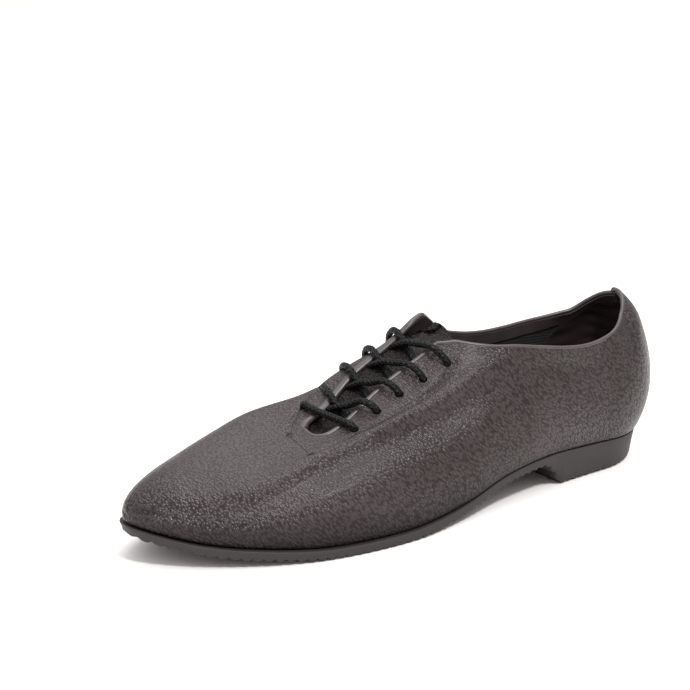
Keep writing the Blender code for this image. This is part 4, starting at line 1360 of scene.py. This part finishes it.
def stitch_row(name, path, pitch, length, radius, material):
    """A plain mesh of stitches along a path in the last's place."""
    curve = bpy.data.curves.new(name, "CURVE")
    curve.dimensions = "3D"
    spline = curve.splines.new("POLY")
    spline.points.add(len(path) - 1)
    spline.points.foreach_set("co", np.concatenate([path, np.ones((len(path), 1))], axis=1).reshape(-1))
    item = bpy.data.objects.new(name, curve)
    bpy.context.scene.collection.objects.link(item)
    tree = bpy.data.node_groups.get("stitch_row") or stitch_tree()
    modifier = item.modifiers.new("Stitches", "NODES")
    modifier.node_group = tree
    values = {"Pitch": pitch, "Stitch length": length, "Thread radius": radius, "Thread": material}
    for socket in tree.interface.items_tree:
        if socket.name in values and socket.in_out == "INPUT":
            modifier[socket.identifier] = values[socket.name]
    bpy.context.view_layer.update()
    depsgraph = bpy.context.evaluated_depsgraph_get()
    mesh = bpy.data.meshes.new_from_object(item.evaluated_get(depsgraph))
    bpy.data.objects.remove(item, do_unlink=True)
    place(mesh)
    return add_object(name, mesh, material, "upper_leather")


class JAZZ_OT_stitches(bpy.types.Operator):
    """Sew the seam that frames the throat, and tack its two front corners"""
    bl_idname = "jazz_shoe.stitches"
    bl_label = "Stitches"

    def execute(self, context):
        shoe = Last()
        s = shoe.s
        thread = shared("bonded nylon thread", sewing_thread)
        seam = OUTER_SEAM + BASE_SEAM[1:] + INNER_SEAM[1:]
        station = np.array([p[0] for p in seam])
        across = np.array([p[1] for p in seam]) * s.ball_width
        reach = np.concatenate([[0], np.cumsum(np.hypot(np.diff(station) * s.length, np.diff(across)))])
        at = np.linspace(0, reach[-1], 260)
        station, across = np.interp(at, reach, station), np.interp(at, reach, across)
        points, normals = shoe.on_top(station, across)
        lift = relief(shoe, points) + 0.05 * MM
        path = points + normals * lift[:, None]
        stitch_row("throat_stitches", path, s.stitch_pitch, 1.9 * MM, 0.26 * MM, thread)
        corners = []
        for spot in (BASE_SEAM[0], BASE_SEAM[-1]):
            for step in (-1, 1):
                corners.append((spot[0] + step * 0.9 * MM / s.length, spot[1] * s.ball_width))
        points, normals = shoe.on_top(np.array([c[0] for c in corners]),
                                      np.array([c[1] for c in corners]), 0.1 * MM)
        for k in (0, 2):
            stitch_row(f"corner_tack_{k // 2 + 1}", points[k:k + 2], 0.9 * MM, 1.6 * MM, 0.42 * MM,
                       thread)
        return {"FINISHED"}


class JAZZ_OT_stage(bpy.types.Operator):
    """Set the pale floor, the soft light and the camera at the photo's angle"""
    bl_idname = "jazz_shoe.stage"
    bl_label = "Stage"

    def execute(self, context):
        scene = context.scene
        scene.view_settings.view_transform = "Standard"
        material, tree, shader = new_material("matt white sweep", 0.9)
        cloud = node(tree, "ShaderNodeTexNoise", {"Scale": 3.0, "Detail": 2.0,
                     "Vector": node(tree, "ShaderNodeTexCoord").outputs["Object"]})
        pale = tuple(v * 0.97 for v in colours().floor)
        skin = node(tree, "ShaderNodeMix", {"Factor": cloud.outputs["Fac"], "A": rgba(pale),
                                            "B": rgba(colours().floor)}, data_type="RGBA")
        tree.links.new(skin.outputs["Result"], shader.inputs["Base Color"])
        shader.inputs["Specular IOR Level"].default_value = 0.1
        sweep = ((1.0, 0.0), (26.0, 0.0), (28.0, 0.05), (29.5, 0.4), (30.0, 1.2))
        turn = np.linspace(0, 2 * math.pi, 64, endpoint=False)
        rings = [[(reach * math.cos(t), reach * math.sin(t), height) for t in turn]
                 for reach, height in sweep]
        spots = [point for ring in rings for point in ring]
        faces = [list(range(64))]
        for k in range(len(rings) - 1):
            for i in range(64):
                j = (i + 1) % 64
                faces.append((k * 64 + i, (k + 1) * 64 + i, (k + 1) * 64 + j, k * 64 + j))
        mesh = bpy.data.meshes.new("floor")
        mesh.from_pydata(spots, [], faces)
        mesh.shade_smooth()
        mesh.materials.append(material)
        floor = bpy.data.objects.new("floor", mesh)
        scene.collection.objects.link(floor)
        world = bpy.data.worlds.new("soft room")
        scene.world = world
        world.use_nodes = True
        sky = world.node_tree
        up = node(sky, "ShaderNodeSeparateXYZ",
                  {"Vector": node(sky, "ShaderNodeTexCoord").outputs["Generated"]})
        rise = node(sky, "ShaderNodeMapRange", {"Value": up.outputs["Z"], "From Min": 0.0,
                                                "From Max": 1.0, "To Min": 0.3, "To Max": 1.75})
        sky.links.new(rise.outputs[0], sky.nodes["Background"].inputs["Strength"])
        sky.nodes["Background"].inputs["Color"].default_value = (1.0, 0.995, 0.99, 1)
        lights = (("side_softbox", (-0.70, 0.05, 0.98), 9.0, 0.14),
                  ("top_softbox", (0.25, -0.1, 1.2), 6.0, 0.7))
        for name, spot, power, width in lights:
            light = bpy.data.lights.new(name, "AREA")
            light.energy = power
            light.size = width
            lamp = bpy.data.objects.new(name, light)
            lamp.location = spot
            lamp.rotation_euler = (-Vector(spot)).to_track_quat("-Z", "Y").to_euler()
            scene.collection.objects.link(lamp)
        aim(scene)
        return {"FINISHED"}


def aim(scene):
    """The camera: its turn, height, roll and distance, and its lens and shift."""
    turn, tip, roll = (math.radians(v) for v in (CAMERA_TURN, CAMERA_TIP, CAMERA_ROLL))
    target = np.array((0, 133 * MM, 40 * MM)) + LAST_PLACE
    forward = np.array((math.cos(turn) * math.cos(tip), -math.sin(turn) * math.cos(tip),
                        -math.sin(tip)))
    right = np.array((-math.sin(turn), -math.cos(turn), 0.0))
    above = np.cross(right, forward)
    across = right * math.cos(roll) + above * math.sin(roll)
    upright = -right * math.sin(roll) + above * math.cos(roll)
    camera = bpy.data.cameras.new("camera")
    camera.sensor_width = SENSOR_WIDTH
    camera.lens = FOCAL_PIXELS / PHOTO_SIDE * SENSOR_WIDTH
    camera.shift_x = -(SHOE_MIDDLE_PIXEL[0] - PHOTO_SIDE / 2) / PHOTO_SIDE
    camera.shift_y = (SHOE_MIDDLE_PIXEL[1] - PHOTO_SIDE / 2) / PHOTO_SIDE
    camera.clip_start = 0.01
    item = bpy.data.objects.new("camera", camera)
    item.matrix_world = Matrix((
        (across[0], upright[0], -forward[0], 0), (across[1], upright[1], -forward[1], 0),
        (across[2], upright[2], -forward[2], 0), (0, 0, 0, 1)))
    item.location = Vector(target - forward * CAMERA_DISTANCE)
    scene.collection.objects.link(item)
    scene.camera = item


class JAZZ_PT_panel(bpy.types.Panel):
    """Everything the shoe is made of, in the order in which it is made"""
    bl_idname = "JAZZ_PT_panel"
    bl_label = "Jazz Shoe"
    bl_space_type = "VIEW_3D"
    bl_region_type = "UI"
    bl_category = "Jazz Shoe"

    def draw(self, context):
        for operator in OPERATORS:
            self.layout.operator(operator.bl_idname)
        for group in (context.scene.jazz_shoe, context.scene.jazz_shoe_colours):
            for name in group.bl_rna.properties.keys():
                if name not in ("rna_type", "name"):
                    self.layout.prop(group, name)


OPERATORS = (JAZZ_OT_outsole, JAZZ_OT_upper, JAZZ_OT_lining, JAZZ_OT_edges, JAZZ_OT_insole,
             JAZZ_OT_heel_grip, JAZZ_OT_tongue, JAZZ_OT_lace, JAZZ_OT_stitches, JAZZ_OT_stage)
CLASSES = (JazzShoeSizes, JazzShoeColours) + OPERATORS + (JAZZ_PT_panel,)


def register():
    for item in CLASSES:
        bpy.utils.register_class(item)
    bpy.types.Scene.jazz_shoe = PointerProperty(type=JazzShoeSizes)
    bpy.types.Scene.jazz_shoe_colours = PointerProperty(type=JazzShoeColours)


def unregister():
    del bpy.types.Scene.jazz_shoe_colours
    del bpy.types.Scene.jazz_shoe
    for item in reversed(CLASSES):
        bpy.utils.unregister_class(item)


def main():
    register()
    for operator in OPERATORS:
        family, name = operator.bl_idname.split(".")
        getattr(getattr(bpy.ops, family), name)()


if __name__ == "__main__":
    main()
